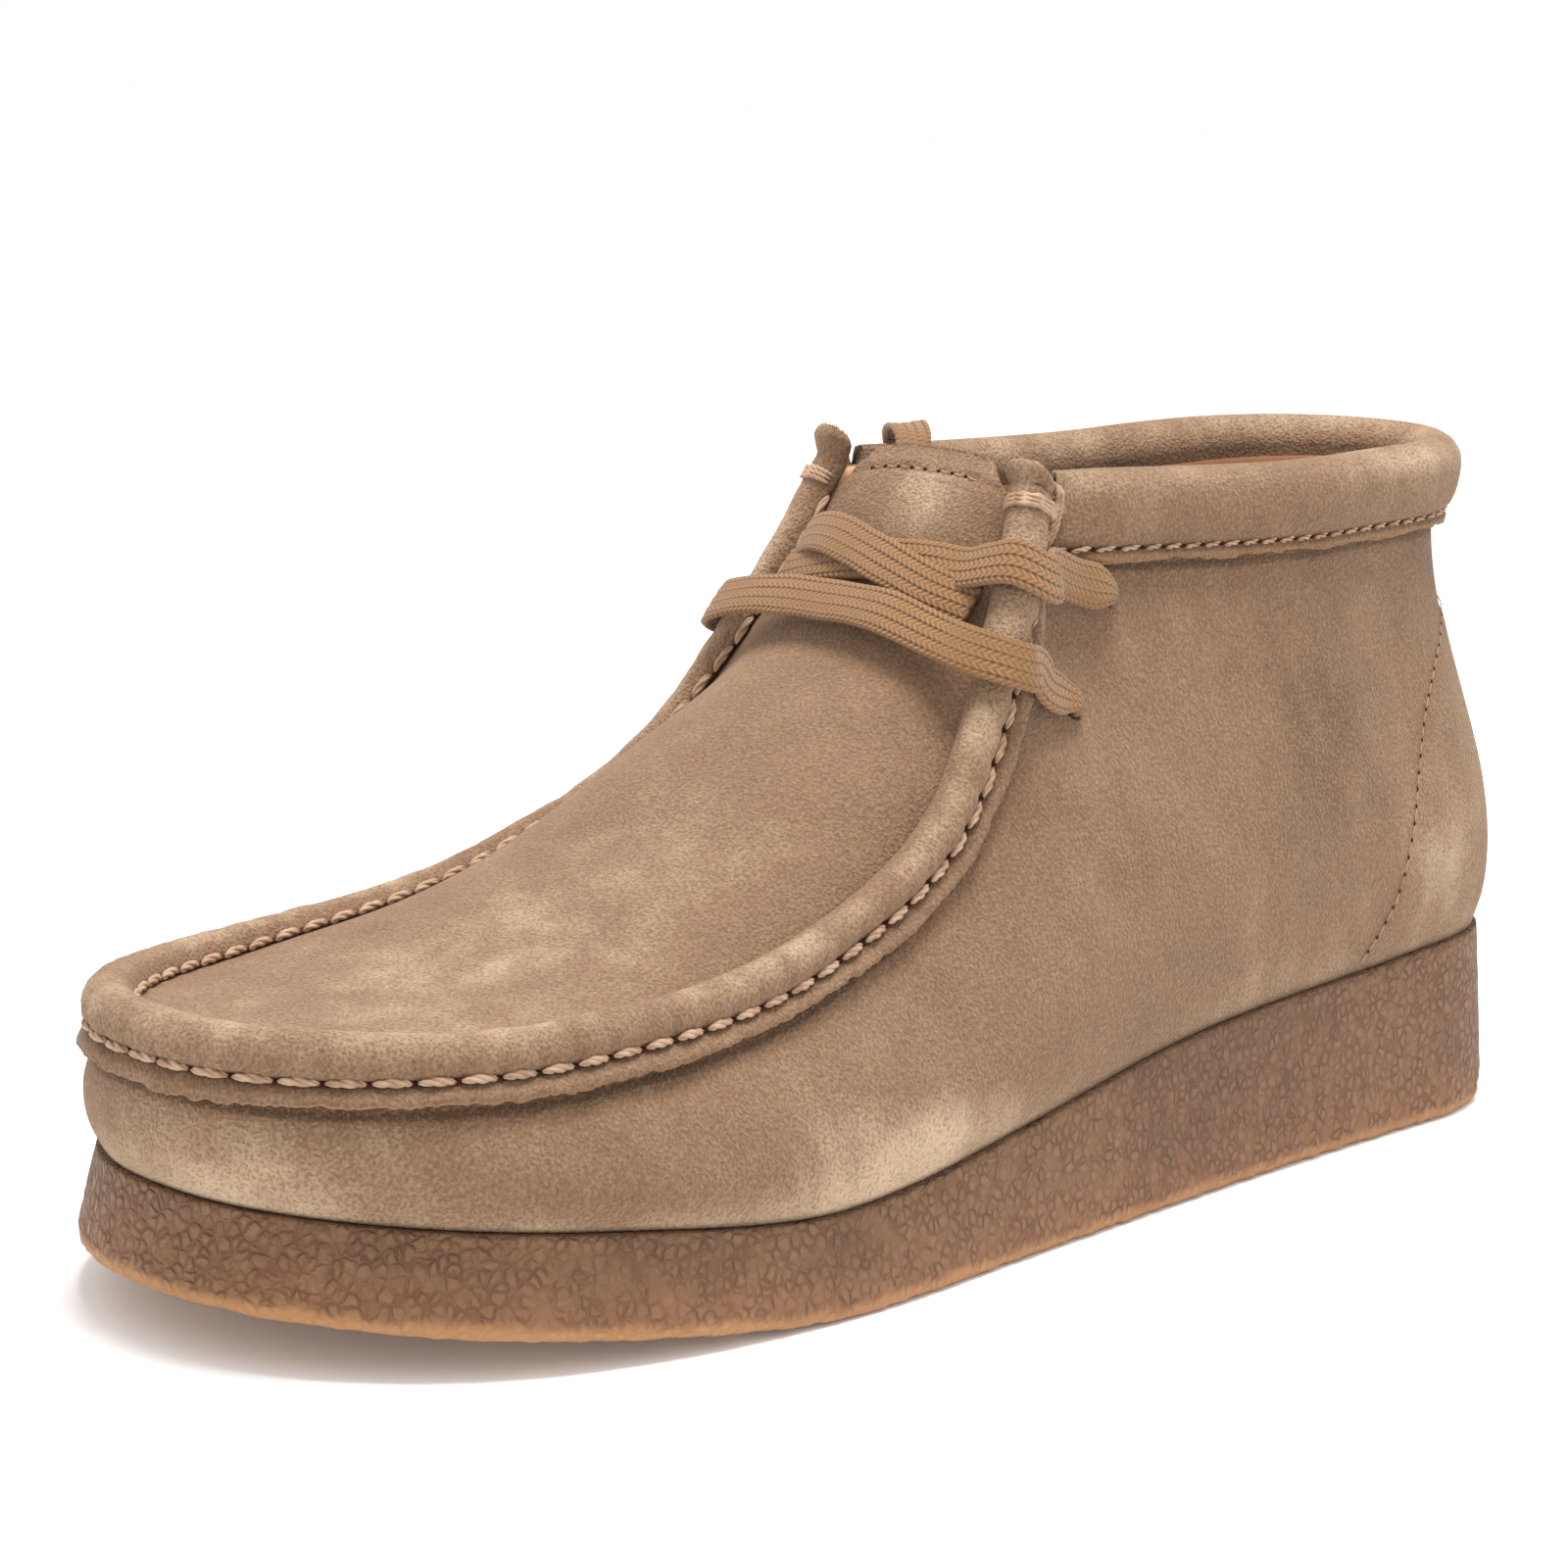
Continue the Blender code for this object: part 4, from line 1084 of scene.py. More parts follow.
class Seam:
    """The moccasin seam's own frame at many loops: its line, and the ways inwards and upwards from it."""

    def __init__(self, loops):
        self.loops = loops
        self.line = seam_line(loops)
        ahead = np.clip(loops + STEP, FACING, 2 - FACING)
        behind = np.clip(loops - STEP, FACING, 2 - FACING)
        self.tangent = unit(seam_line(ahead) - seam_line(behind))
        self.outward = skin(loops, 0.99)[1]
        self.away = unit(np.cross(self.tangent, self.outward))
        self.away *= -np.sign(self.away[:, 2:])
        inward = []
        for point, tangent, outward in zip(self.line, self.tangent, self.outward):
            level = unit(-outward + np.dot(outward, tangent) * tangent)
            aim = point + level * BEAD_WIDTH / 2
            toward = hit(aim - DOWN * BEAD_WIDTH * 3, DOWN, aim) - point
            inward.append(unit(toward - np.dot(toward, tangent) * tangent))
        self.inward = np.array(inward)
        self.upward = unit(np.cross(self.inward, self.tangent))

    def place(self, across, over):
        """Points across from the seam's line and over the leather: a row for each loop or one for all."""
        across = np.broadcast_to(across, (len(self.loops), np.shape(across)[-1]))
        over = np.broadcast_to(over, across.shape)
        blend = ease((across + SEAM_HALF) / (2 * SEAM_HALF))[:, :, None]
        down = np.maximum(-across, 0)
        aims = (self.line[:, None] + self.away[:, None] * down[:, :, None]).reshape(-1, 3)
        loops = np.repeat(self.loops, across.shape[1])
        ups = 1 - down * share_a_metre(self.loops)[:, None]
        base, normal = skin_near(aims, loops, ups.ravel())
        for k in np.nonzero(np.abs(loops - 1) < TIP_REACH)[0]:
            base[k], face_normal = TIP_TREE.find_nearest(Vector(aims[k]))[:2]
            outward = self.outward[k // across.shape[1]]
            normal[k] = np.array(face_normal) * np.sign(np.dot(face_normal, outward))
        base = base.reshape(*across.shape, 3)
        normal = normal.reshape(*across.shape, 3)
        for n in range(len(self.loops)):
            for m in np.nonzero(across[n] >= 0)[0]:
                level = self.line[n] + self.inward[n] * across[n, m]
                base[n, m] = hit(level + self.upward[n] * BEAD_WIDTH, -self.upward[n], level)
                normal[n, m] = self.outward[n]
        return base + unit((1 - blend) * normal + blend * self.upward[:, None, :]) * over[:, :, None]

    def spots(self, across, over):
        """One point for each loop."""
        return self.place(np.array([across]), np.array([over]))[:, 0]

    def out_of(self, groove):
        """The ways out of the leather at the flange's groove, 0, or at the plug's, 1."""
        outward, upward = ((1, 0.5), (-0.2, 1))[groove]
        return unit(self.outward * outward + self.upward * upward)


SEAM_LENGTH = line_length(seam_line(np.linspace(FACING, 2 - FACING, 3000)))
SEAM_STITCHES = int(round(SEAM_LENGTH / SEAM_PITCH))
STITCH_ACROSS = -0.50 * BEAD_WIDTH
STITCH_OVER = SEAT + FLANGE_THICKNESS + 0.25 * MM
# On the outer side the bead covers the stitches by the plug; they show from this share of the seam on
PLUG_STITCHES_FROM = 0.48


def loops_between(start, end, count, shares):
    """Loops at shares of the length of the seam's line between two loops."""
    return np.interp(shares, np.linspace(0, 1, count), even_loops(start, end, count, seam_line))


def seam_at(shares):
    """The seam's frame at shares of its length."""
    return Seam(loops_between(FACING, 2 - FACING, 2001, shares))


def make_seam():
    """The rolled bead with its ragged flange, drawn in a little at each needle hole, and its capped ends."""
    count = 1001
    shares = np.linspace(0, 1, count)
    seam = seam_at(shares)
    run = shares * SEAM_LENGTH / MM
    pinch = np.abs(np.cos(np.pi * shares * SEAM_STITCHES)) ** 6
    swell = 1 + 0.035 * wander(run, 13, 21) + 0.03 * wander(run, 4.1, 22)
    ragged = 0.22 * wander(run, 2.3, 23) + 0.22 * wander(run, 0.7, 24) + 0.35 * wander(run, 17, 25)
    edge = -FLANGE_EDGE + ragged * MM
    lift = (0.65 + 0.30 * wander(run, 8, 26)) * MM
    top = SEAT + FLANGE_THICKNESS
    flat = np.ones(count)
    flange = [
        (edge + 0.1 * MM, SEAT + 0.2 * MM + lift),
        (edge, SEAT + 0.7 * MM + lift),
        (edge + 0.25 * MM, top + lift),
        (edge * 0.6 + STITCH_ACROSS * 0.4, top + 0.15 * MM + lift * 0.6),
        (STITCH_ACROSS * 1.12 * flat, top + 0.1 * MM - 0.2 * MM * pinch),
    ]
    bead = []
    for across, over in smooth_through(BEAD_SECTION, BEAD_COLUMNS):
        side = ease((0.1 - across) / 0.5)
        bead.append((
            across * BEAD_WIDTH * swell + side * pinch * 0.28 * MM,
            over * BEAD_HEIGHT * swell - pinch * 0.16 * MM * (0.4 + side),
        ))
    under = [
        (0.46 * BEAD_WIDTH * flat, SEAT * 0.4 * flat),
        (0.1 * BEAD_WIDTH * flat, SEAT * flat),
        (-0.3 * BEAD_WIDTH * flat, SEAT * flat),
    ]
    contour = flange + bead + under
    rings = seam.place(*(np.column_stack([column[k] * flat for column in contour]) for k in (0, 1)))
    outer_cap = cap(rings[0], 0.60 * SEAM_STUB, 31)
    inner_cap = cap(rings[-1], 0.85 * SEAM_STUB, 32)
    rings = np.concatenate([outer_cap[::-1], rings, inner_cap])
    width = rings.shape[1]
    crest = bell(np.arange(width), BEAD_CREST, 4.0)
    wear_and_shade = 0.38 * crest * (1 + 0.5 * wander(np.arange(len(rings)), 9, 27))[:, None]
    # Painted shade in the groove where the stitches lie, and lighter on the flange
    wear_and_shade[len(CAP):-len(CAP), FLANGE_COLUMNS - 1:FLANGE_COLUMNS + 2] -= 0.60
    wear_and_shade[:, :3] += 0.10
    faces = tube_faces(len(rings), width)
    finishes = face_finishes(faces, width, {1: (0, 1)})
    make_piece(
        "seam_bead", rings.reshape(-1, 3), faces, [SUEDE, ROUGH_EDGE], "suede",
        {"wear_and_shade": wear_and_shade.ravel()}, ["seam_roll"], finishes,
    )
    return [outer_cap[CAP_CROWN], inner_cap[CAP_CROWN]]


def face_finishes(faces, width, columns):
    """Which finish each face of a tube has, from the columns of each finish; the rest have the first one."""
    column = np.arange(len(faces)) % width
    column[-2:] = -1
    finishes = np.zeros(len(faces), np.int32)
    for finish, chosen in columns.items():
        finishes[np.isin(column, chosen)] = finish
    return finishes


# Columns of the seam's rings: the flange's come first, then the bead's; the crest is the bead's lightest
FLANGE_COLUMNS = 5
BEAD_COLUMNS = 18
BEAD_CREST = 15.5

# Rounded end of the seam over the facing: height as a share of the stub, width as a share of the bead
CAP = np.array([
    # up, width
    [0.10, 0.96],
    [0.24, 1.06],
    [0.42, 1.18],
    [0.60, 1.22],
    [0.78, 1.14],
    [0.92, 0.94],
    [1.00, 0.66],
    [1.00, 0.34],
    [0.94, 0.12],
])
# The ring at the crown of an end, where its fibres grow
CAP_CROWN = 5


def cap(last, height, seed):
    """Rings that carry the seam's last section up into a rounded, gathered end."""
    heart = last[FLANGE_COLUMNS:FLANGE_COLUMNS + BEAD_COLUMNS].mean(axis=0)
    pleats = wander(np.arange(len(last)), 1.6, seed)
    rough = pleats * 1.6 + np.random.default_rng(seed).uniform(-0.6, 0.6, (len(CAP), len(last)))
    rings = []
    for n, (up, width) in enumerate(CAP):
        drawn = heart + (last - heart) * width
        flange = drawn[:FLANGE_COLUMNS]
        drawn[:FLANGE_COLUMNS] = flange + (drawn[FLANGE_COLUMNS] - flange) * ease(up * 1.2)
        ring = drawn + np.array([0, 0, height * up])
        rings.append(ring + unit(drawn - heart) * (rough[n] * 0.22 * MM * ease(up))[:, None])
    return np.array(rings)


def stitch_rings(path, radius, plies, turns):
    """Rings of a stitch: twisted plies along a path, plump in the middle and thin at the ends."""
    tangent = unit(np.gradient(path, axis=0))
    side = unit(np.cross(tangent, np.array([0.31, 0.27, 0.91])))
    top = np.cross(tangent, side)
    share = np.linspace(0, 1, len(path))
    plump = 0.30 + 0.70 * np.sin(np.pi * share) ** 0.6
    angles = np.arange(6) * math.tau / 6
    rings = []
    for ply in range(plies):
        turn = math.tau * (share * turns + ply / plies)[:, None]
        heart = path + (side * np.cos(turn) + top * np.sin(turn)) * (radius * 0.52 * plump)[:, None]
        ring = side[:, None] * np.cos(angles)[None, :, None] + top[:, None] * np.sin(angles)[None, :, None]
        rings.append(heart[:, None] + ring * (radius * 0.60 * plump)[:, None, None])
    return rings


def join_threads(name, paths, radius, material, plies=3, turns=0.8):
    """One piece of many short twisted threads."""
    tubes = [tube for path in paths for tube in stitch_rings(path, radius, plies, turns)]
    make_piece(name, *join_tubes(tubes), [material], "suede")


def join_tubes(tubes):
    """Points and faces of many closed tubes of rings."""
    points = []
    faces = []
    start = 0
    for rings in tubes:
        faces += tube_faces(len(rings), rings.shape[1], start)
        points.append(rings.reshape(-1, 3))
        start += len(points[-1])
    return np.concatenate(points), faces


def join_hole_shades(name, spots, normals, along, size):
    """One piece of painted shade in many needle holes, each a small dark, low oval dome of a half length and
    a half width.
    """
    length, width = size
    corners = 10
    angles = np.arange(corners) * math.tau / corners
    points = []
    faces = []
    start = 0
    for spot, normal, way in zip(spots, normals, along):
        side = unit(np.cross(normal, way))
        way = np.cross(side, normal)
        oval = way * (np.cos(angles) * length)[:, None] + side * (np.sin(angles) * width)[:, None]
        points += [spot + oval, spot + oval * 0.6 + normal * 0.12 * MM, [spot + normal * 0.16 * MM]]
        for k in range(corners):
            after = (k + 1) % corners
            inner = start + corners
            faces.append((start + k, start + after, inner + after, inner + k))
            faces.append((inner + k, inner + after, inner + corners))
        start += 2 * corners + 1
    make_piece(name, np.concatenate(points), faces, [HOLE_SHADE], "suede")


def arched(start, end, normal, height, steps=8):
    """Points from start to end that rise over the leather in between."""
    share = np.linspace(0, 1, steps)[:, None]
    rise = np.sin(np.pi * share) ** 0.7
    return start + (end - start) * share + normal * height * rise


def make_seam_stitches():
    """Saddle stitches on both sides of the bead: in the groove by the flange, and in the one by the plug."""
    paths = []
    holes = []
    half = SEAM_STITCH / SEAM_LENGTH / 2
    all_middles = (np.arange(1, SEAM_STITCHES - 1) + 0.5) / SEAM_STITCHES
    all_holes = np.arange(1, SEAM_STITCHES) / SEAM_STITCHES
    grooves = (
        # across, over, slant, share of the seam that it starts at
        (STITCH_ACROSS, STITCH_OVER, 0.22 * MM, 0),
        (0.50 * BEAD_WIDTH, 0.55 * MM, 0.12 * MM, PLUG_STITCHES_FROM),
    )
    for groove, (across, over, slant, first) in enumerate(grooves):
        middles = all_middles[all_middles > first]
        places = [seam_at(middles + shift) for shift in (-half, 0, half)]
        outward = places[1].out_of(groove)
        starts, hearts, ends = (
            seam.spots(across, over + tilt) for seam, tilt in zip(places, (-slant, 0, slant))
        )
        for start, heart, end, out in zip(starts, hearts, ends, outward):
            path = arched(start, end, out, SEAM_ARCH)
            bend = heart - (start + end) / 2
            paths.append(path + bend * np.sin(np.linspace(0, np.pi, len(path)))[:, None])
        seam = seam_at(all_holes[all_holes > first])
        holes.append((seam.spots(across * 0.98, over - 0.12 * MM), seam.out_of(groove), seam.tangent))
    join_threads("seam_stitches", paths, SEAM_THREAD, THREAD)
    join_hole_shades("seam_hole_shades", *map(np.concatenate, zip(*holes)), SEAM_HOLE)


def make_seam_wraps():
    """Turns of thread round the foot of each capped end, and the long thread up its outer side."""
    paths = []
    size = np.array([BEAD_WIDTH * 1.06, BEAD_HEIGHT])
    across, over = (smooth_through(BEAD_SECTION, 14) * size + np.array([0, 0.25 * MM])).T
    for start, inward in ((0.0, 1), (1.0, -1)):
        for turn in range(3):
            seam = seam_at(np.array([start + inward * (0.0070 + 0.0018 * turn)]))
            paths.append(seam.place(across, over)[0])
        low, high = (seam_at(np.array([start + inward * share])) for share in (0.022, 0.0))
        for shift in (-0.5 * MM, 0.6 * MM):
            foot = low.spots(STITCH_ACROSS + shift, STITCH_OVER + 0.5 * MM)[0]
            head = high.spots(STITCH_ACROSS + shift, STITCH_OVER + 1.5 * MM)[0]
            middle = (foot + head) / 2 + high.outward[0] * 0.5 * MM
            crown = head - DOWN * SEAM_STUB * 0.35
            tip = crown + high.inward[0] * 2.2 * MM - DOWN * 1.6 * MM
            paths.append(smooth_through([foot, middle, head, crown, tip], 22))
    join_threads("seam_wraps", paths, WRAP_THREAD, THREAD, turns=4)


def collar_end():
    """Loop where the collar's roll stops, thin and tucked under the seam's flange."""
    fine = np.linspace(0.2, FACING, 801)
    reach = np.linalg.norm(seam_line(fine) - seam_line(np.array([FACING])), axis=1)
    return float(fine[np.argmin(np.abs(reach - (FLANGE_EDGE - 2.5 * MM)))])


COLLAR_END = collar_end()


def collar_spots(loops, down, out):
    """Points of the collar's roll, down from the top edge and out from the wall, and the ways out.

    Down has a row for each loop, and out is one number or as many rows.
    """
    near_end = np.clip((np.abs(loops) - COLLAR_END + 0.045) / 0.045, 0, 1)
    lean = (np.sign(loops) * near_end)[:, None] * COLLAR_LEAN * np.maximum(down, 0) / COLLAR_BAND
    base, normal = skin(loops[:, None] + lean, 1 - down * share_a_metre(loops)[:, None])
    points = base + normal * np.broadcast_to(out, down.shape).reshape(-1, 1)
    return points.reshape(*down.shape, 3), normal.reshape(*down.shape, 3)


def collar_line(shares, down, out):
    """Points along the collar at shares of its length, at distances down and out, and the ways out."""
    loops = collar_loops(shares)
    down = np.broadcast_to(down, len(loops))[:, None]
    points, normals = collar_spots(loops, down, out)
    return points[:, 0], normals[:, 0]


COLLAR_LENGTH = line_length(seam_line(np.linspace(-COLLAR_END, COLLAR_END, 2001)))
COLLAR_STITCHES = int(round(COLLAR_LENGTH / COLLAR_PITCH))
COLLAR_STITCH_DOWN = 0.82 * COLLAR_BAND


def collar_loops(shares):
    return loops_between(-COLLAR_END, COLLAR_END, 1001, shares)


def make_collar():
    """The padded roll over the top edge, quilted a little by its stitch line, with a raw lower edge."""
    count = 561
    shares = np.linspace(0, 1, count)
    loops = collar_loops(shares)
    run = shares * COLLAR_LENGTH / MM
    section = smooth_through(COLLAR_SECTION, 44)
    low, far = section.T
    down = np.tile(low * COLLAR_BAND, (count, 1))
    out = np.tile(far * COLLAR_PADDING, (count, 1))
    outside = far > 0
    pinch = np.abs(np.cos(np.pi * shares * COLLAR_STITCHES)) ** 4
    groove = bell(low, 0.82, 0.07) * outside
    out -= groove * (0.30 * MM) * pinch[:, None]
    plump = 1 + 0.06 * wander(run, 14, 41) + 0.05 * wander(run, 5.3, 42)
    body = ease((0.78 - low) / 0.3) * outside
    out *= 1 + (plump - 1)[:, None] * body
    raw = (low > 0.93) & outside
    down += raw * (0.30 * wander(run, 1.6, 43) + 0.30 * wander(run, 9, 44))[:, None] * MM
    # A low bump at the heel end
    out += bell(loops, 0, 0.006)[:, None] * (0.8 * MM) * outside * ease((low - 0.74) / 0.1)
    out *= (0.22 + 0.78 * ease((COLLAR_END - np.abs(loops)) / 0.030))[:, None]
    out += SEAT * outside
    down = np.column_stack([down, np.tile(COLLAR_UNDER[:, 0] * COLLAR_BAND, (count, 1))])
    out = np.column_stack([out, np.tile(COLLAR_UNDER[:, 1] * COLLAR_PADDING, (count, 1))])
    rings = collar_spots(loops, down, out)[0]
    width = rings.shape[1]
    inner = far < -1
    wear_and_shade = 0.30 * bell(low, -0.12, 0.22) * (1 + 0.6 * wander(run, 11, 45))[:, None]
    # Painted shade in the stitch groove, and a painted shadow line on the inside just below the roll
    wear_and_shade -= 0.45 * groove + 0.8 * bell(low, 0.26, 0.10) * inner
    wear_and_shade += 0.16 * wander(run, 26, 46)[:, None] * body
    wear_and_shade = np.column_stack([wear_and_shade, np.zeros((count, len(COLLAR_UNDER)))])
    faces = tube_faces(count, width)
    finishes = face_finishes(faces, width, {1: (0, 1, 2), 2: np.nonzero((low > 0.30) & inner)[0]})
    make_piece(
        "collar_band", rings.reshape(-1, 3), faces, [SUEDE, ROUGH_EDGE, LINING], "suede",
        {"wear_and_shade": wear_and_shade.ravel()}, ["collar_roll"], finishes,
    )


def make_collar_stitches():
    """Slanting stitches along the collar band, each between two needle holes."""
    middles = (np.arange(COLLAR_STITCHES) + 0.5) / COLLAR_STITCHES
    half = COLLAR_STITCH / COLLAR_LENGTH / 2
    out = SEAT + 0.46 * COLLAR_PADDING
    ends = []
    for shift, tilt in ((-half, -0.30 * MM), (half, 0.30 * MM)):
        shares = np.clip(middles + shift, 0, 1)
        slope = np.where(collar_loops(shares) < 0, -tilt, tilt)
        ends.append(collar_line(shares, COLLAR_STITCH_DOWN + slope, out)[0])
    normal = collar_line(middles, COLLAR_STITCH_DOWN, out)[1]
    paths = [arched(start, end, way, COLLAR_ARCH) for start, end, way in zip(*ends, normal)]
    join_threads("collar_stitches", paths, COLLAR_THREAD, THREAD, plies=2, turns=1.0)
    holes = np.arange(1, COLLAR_STITCHES) / COLLAR_STITCHES
    spots, normals = collar_line(holes, COLLAR_STITCH_DOWN, out - 0.12 * MM)
    ways = unit(np.gradient(spots, axis=0))
    join_hole_shades("collar_hole_shades", spots, normals, ways, COLLAR_HOLE)


def make_fine_stitches():
    """Thin stitch lines of the heel counter, on both sides, and of the tongue's hem."""
    paths = []
    holes = []

    def stitch_along(line, normal, pitch, stitch):
        run = run_along(line)
        places = np.arange(pitch / 2, run[-1], pitch)

        def read(values, at):
            return np.column_stack([np.interp(at, run, values[:, k]) for k in range(3)])

        start, end = (read(line, places + shift) for shift in (-stitch / 2, stitch / 2))
        up = unit(read(normal, places))
        paths.extend(arched(*ends, FINE_ARCH, 5) for ends in zip(start, end, up))
        between = places + pitch / 2
        out = unit(read(normal, between))
        holes.append((read(line, between) + out * 0.02 * MM, out, unit(end - start)))

    curve = smooth_through(COUNTER, 200)
    for side in (1, -1):
        loops = curve[:, 0] if side > 0 else 2 - curve[:, 0]
        line, normal = skin(loops, curve[:, 1])
        stitch_along(line + normal * 0.30 * MM, normal, COUNTER_PITCH, COUNTER_STITCH)
    top = np.array([FACING])
    across = np.linspace(tongue_share(top, 1)[0] + 0.03, 1 - tongue_share(top, 2)[0] - 0.03, 120)
    middle = plug(np.array([FACING, FACING + 0.01]), np.array([0.5]))[:, 0]
    line, normal = plug_skin(FACING + 0.01 * TONGUE_HEM / line_length(middle), across)
    stitch_along(line - normal * 0.40 * MM, normal, TONGUE_PITCH, TONGUE_STITCH)
    join_threads("fine_stitches", paths, FINE_RADIUS, FINE_THREAD, plies=1)
    join_hole_shades("fine_hole_shades", *map(np.concatenate, zip(*holes)), FINE_HOLE)


def girth_spots(table):
    """Points on the leather and their normals for rows of rib and girth."""
    points = []
    normals = []
    for rib, girth in table[:, :2]:
        if girth < 0:
            point, normal = skin([rib], [1 + girth])
        elif girth > 1:
            point, normal = skin([2 - rib], [2 - girth])
        else:
            point, normal = plug_skin([max(rib, FACING + 0.004)], [girth])
        points.append(point[0])
        normals.append(normal[0])
    return np.array(points), np.array(normals)


def lace_route(table, into_hole):
    """Points of a lace over the leather and of the hearts that its face turns away from."""
    base, normal = girth_spots(table)
    lift = 1.5 * GAP + LACE_THICKNESS / 2 + table[:, 2] * BEAD_HEIGHT
    points = list(base + normal * lift[:, None])
    hearts = list(base - normal * LACE_WIDTH * 2)
    if into_hole[1]:
        dive(points, hearts, normal[-1])
    if into_hole[0]:
        points.reverse()
        hearts.reverse()
        dive(points, hearts, normal[0])
        points.reverse()
        hearts.reverse()
    return np.array(points), np.array(hearts)


def dive(points, hearts, normal):
    """Carries a lace on from its last point, over the hole's edge and in through the leather."""
    ahead = unit(points[-1] - points[-2])
    ahead = unit(ahead - np.dot(ahead, normal) * normal)
    last = points[-1]
    for forward, deep in ((0.5 * MM, 0.6 * MM), (0.8 * MM, 1.9 * MM), (0.8 * MM, 4.0 * MM)):
        spot = last + ahead * forward - normal * deep
        turn = min(deep / (2 * MM), 1)
        points.append(spot)
        hearts.append(spot - unit(normal * (1 - turn) + ahead * turn) * LACE_WIDTH * 2)


def flat_lace(points, hearts, narrow=(False, False)):
    """Rings of a flat braided lace, its values and its route; it is drawn in at the ends in a lace hole."""
    run = run_along(points)
    at = np.linspace(0, run[-1], int(run[-1] / LACE_SPACING) + 1)
    table = np.column_stack([run, points, hearts])
    smooth = np.column_stack([spline(table, column, at) for column in range(1, 7)])
    route = smooth[:, :3]
    tangent = unit(np.gradient(route, axis=0))
    face = route - smooth[:, 3:]
    face = unit(face - (face * tangent).sum(axis=1, keepdims=True) * tangent)
    side = np.cross(tangent, face)
    wide = np.ones(len(at))
    for far, is_narrow in ((at, narrow[0]), (run[-1] - at, narrow[1])):
        if is_narrow:
            wide *= 0.42 + 0.58 * ease((far - 3.5 * MM) / (7.5 * MM))
    thick = 1 + 0.55 * (1 - wide)
    wave = 1 + 0.03 * wander(at / MM, 5, 51)
    steps = np.linspace(0, math.tau, 28, endpoint=False)
    flat = np.sign(np.cos(steps)) * np.abs(np.cos(steps)) ** 0.9
    high = np.sign(np.sin(steps)) * np.abs(np.sin(steps)) ** 0.42
    columns = 1 + 0.10 * (np.cos(flat * 4 * math.pi) - 0.3)
    half_width = LACE_WIDTH / 2 * wide * wave
    half_height = LACE_THICKNESS / 2 * thick
    rings = route[:, None] + side[:, None] * (flat * half_width[:, None])[:, :, None]
    rings = rings + face[:, None] * (high * columns * half_height[:, None])[:, :, None]
    values = np.column_stack([np.tile(flat * LACE_WIDTH / 2 / MM, len(at)), np.repeat(at / MM, len(steps))])
    return rings, values, route


def make_lace(name, strands, node):
    """One lace piece of one or more strands, each with its rings, values and route."""
    across, along = np.concatenate([strand[1] for strand in strands]).T
    points, faces = join_tubes([strand[0] for strand in strands])
    return make_piece(name, points, faces, [BRAID], "lace", {"across": across, "along": along}, [node])


def make_lace_end():
    """The short end of lace over the collar: out of the upper lace hole inside, and bare outside."""
    reach = LEATHER / 2 + COLLAR_PADDING + 2 * GAP + LACE_THICKNESS
    points = []
    hearts = []
    for rib, out, up in LACE_END:
        loop = [2 - rib]
        base, normal = skin(loop, 1 - max(-up, 0) * reach * share_a_metre(loop))
        level = unit(np.array([normal[0][0], normal[0][1], 0]))
        heart = base[0] - normal[0] * LEATHER / 2
        hearts.append(heart)
        points.append(heart + level * out * reach - DOWN * max(up, 0) * reach)
    strand = flat_lace(np.array(points)[::-1], np.array(hearts)[::-1])
    piece = make_lace("lace_tail", [strand], "lace_end")


def make_laces():
    """The lower bar, and the two strands of the upper crossing as one piece."""
    bar, over, under = (
        flat_lace(*lace_route(table, into_hole), into_hole)
        for table, into_hole in (
            (LOWER_BAR, (True, True)),
            (UPPER_STRAND, (False, False)),
            (UNDER_STRAND, (False, True)),
        )
    )
    make_lace("lace_lower_bar", [bar], "lace_bar_lower")
    make_lace("lace_upper_cross", [over, under], "lace_cross_upper")


def make_outsole():
    """The crepe wedge: a crumbly side that flares out, a rounded lower edge and the tread."""
    loops = even_loops(0, 2, 901, foot_line)[:-1]
    rib = fold(loops)[0]
    top = sole_top_height(rib)
    tread = tread_height(rib)
    run = loops * LOOP_MM
    rings = []
    rises = []
    for down, out in smooth_through(SOLE_EDGE, 30):
        rough = 0.14 * wander(run, 2.1, 61 + int(down * 12)) + 0.10 * wander(run, 0.8, 80 + int(down * 20))
        low = ease((down - 0.8) / 0.2)
        line = foot_line(loops, SOLE_FLARE * out + rough * MM * (0.5 + low) * ease(down * 8))
        height = top + (tread - top) * down
        height = height + 0.22 * MM * low * (1 + wander(run, 1.7, 99)) / 2
        rings.append(np.column_stack([line, height]))
        rises.append((height - tread) / MM)
    count = len(loops)
    faces = [tuple(face) for face in grid(len(rings), count, closed_columns=True)[:, ::-1]]
    base = (len(rings) - 1) * count
    half = count // 2
    for k in range(half):
        for start, turn in ((0, 1), (base, -1)):
            strip = [start + k, start + k + 1, start + (count - k - 1) % count, start + (count - k) % count]
            kept = [corner for n, corner in enumerate(strip) if corner not in strip[:n]]
            if len(kept) > 2:
                faces.append(tuple(kept[::turn]))
    values = {"rise": np.concatenate(rises)}
    make_piece("crepe_outsole", np.concatenate(rings), faces, [CREPE], "crepe", values, ["outsole"])


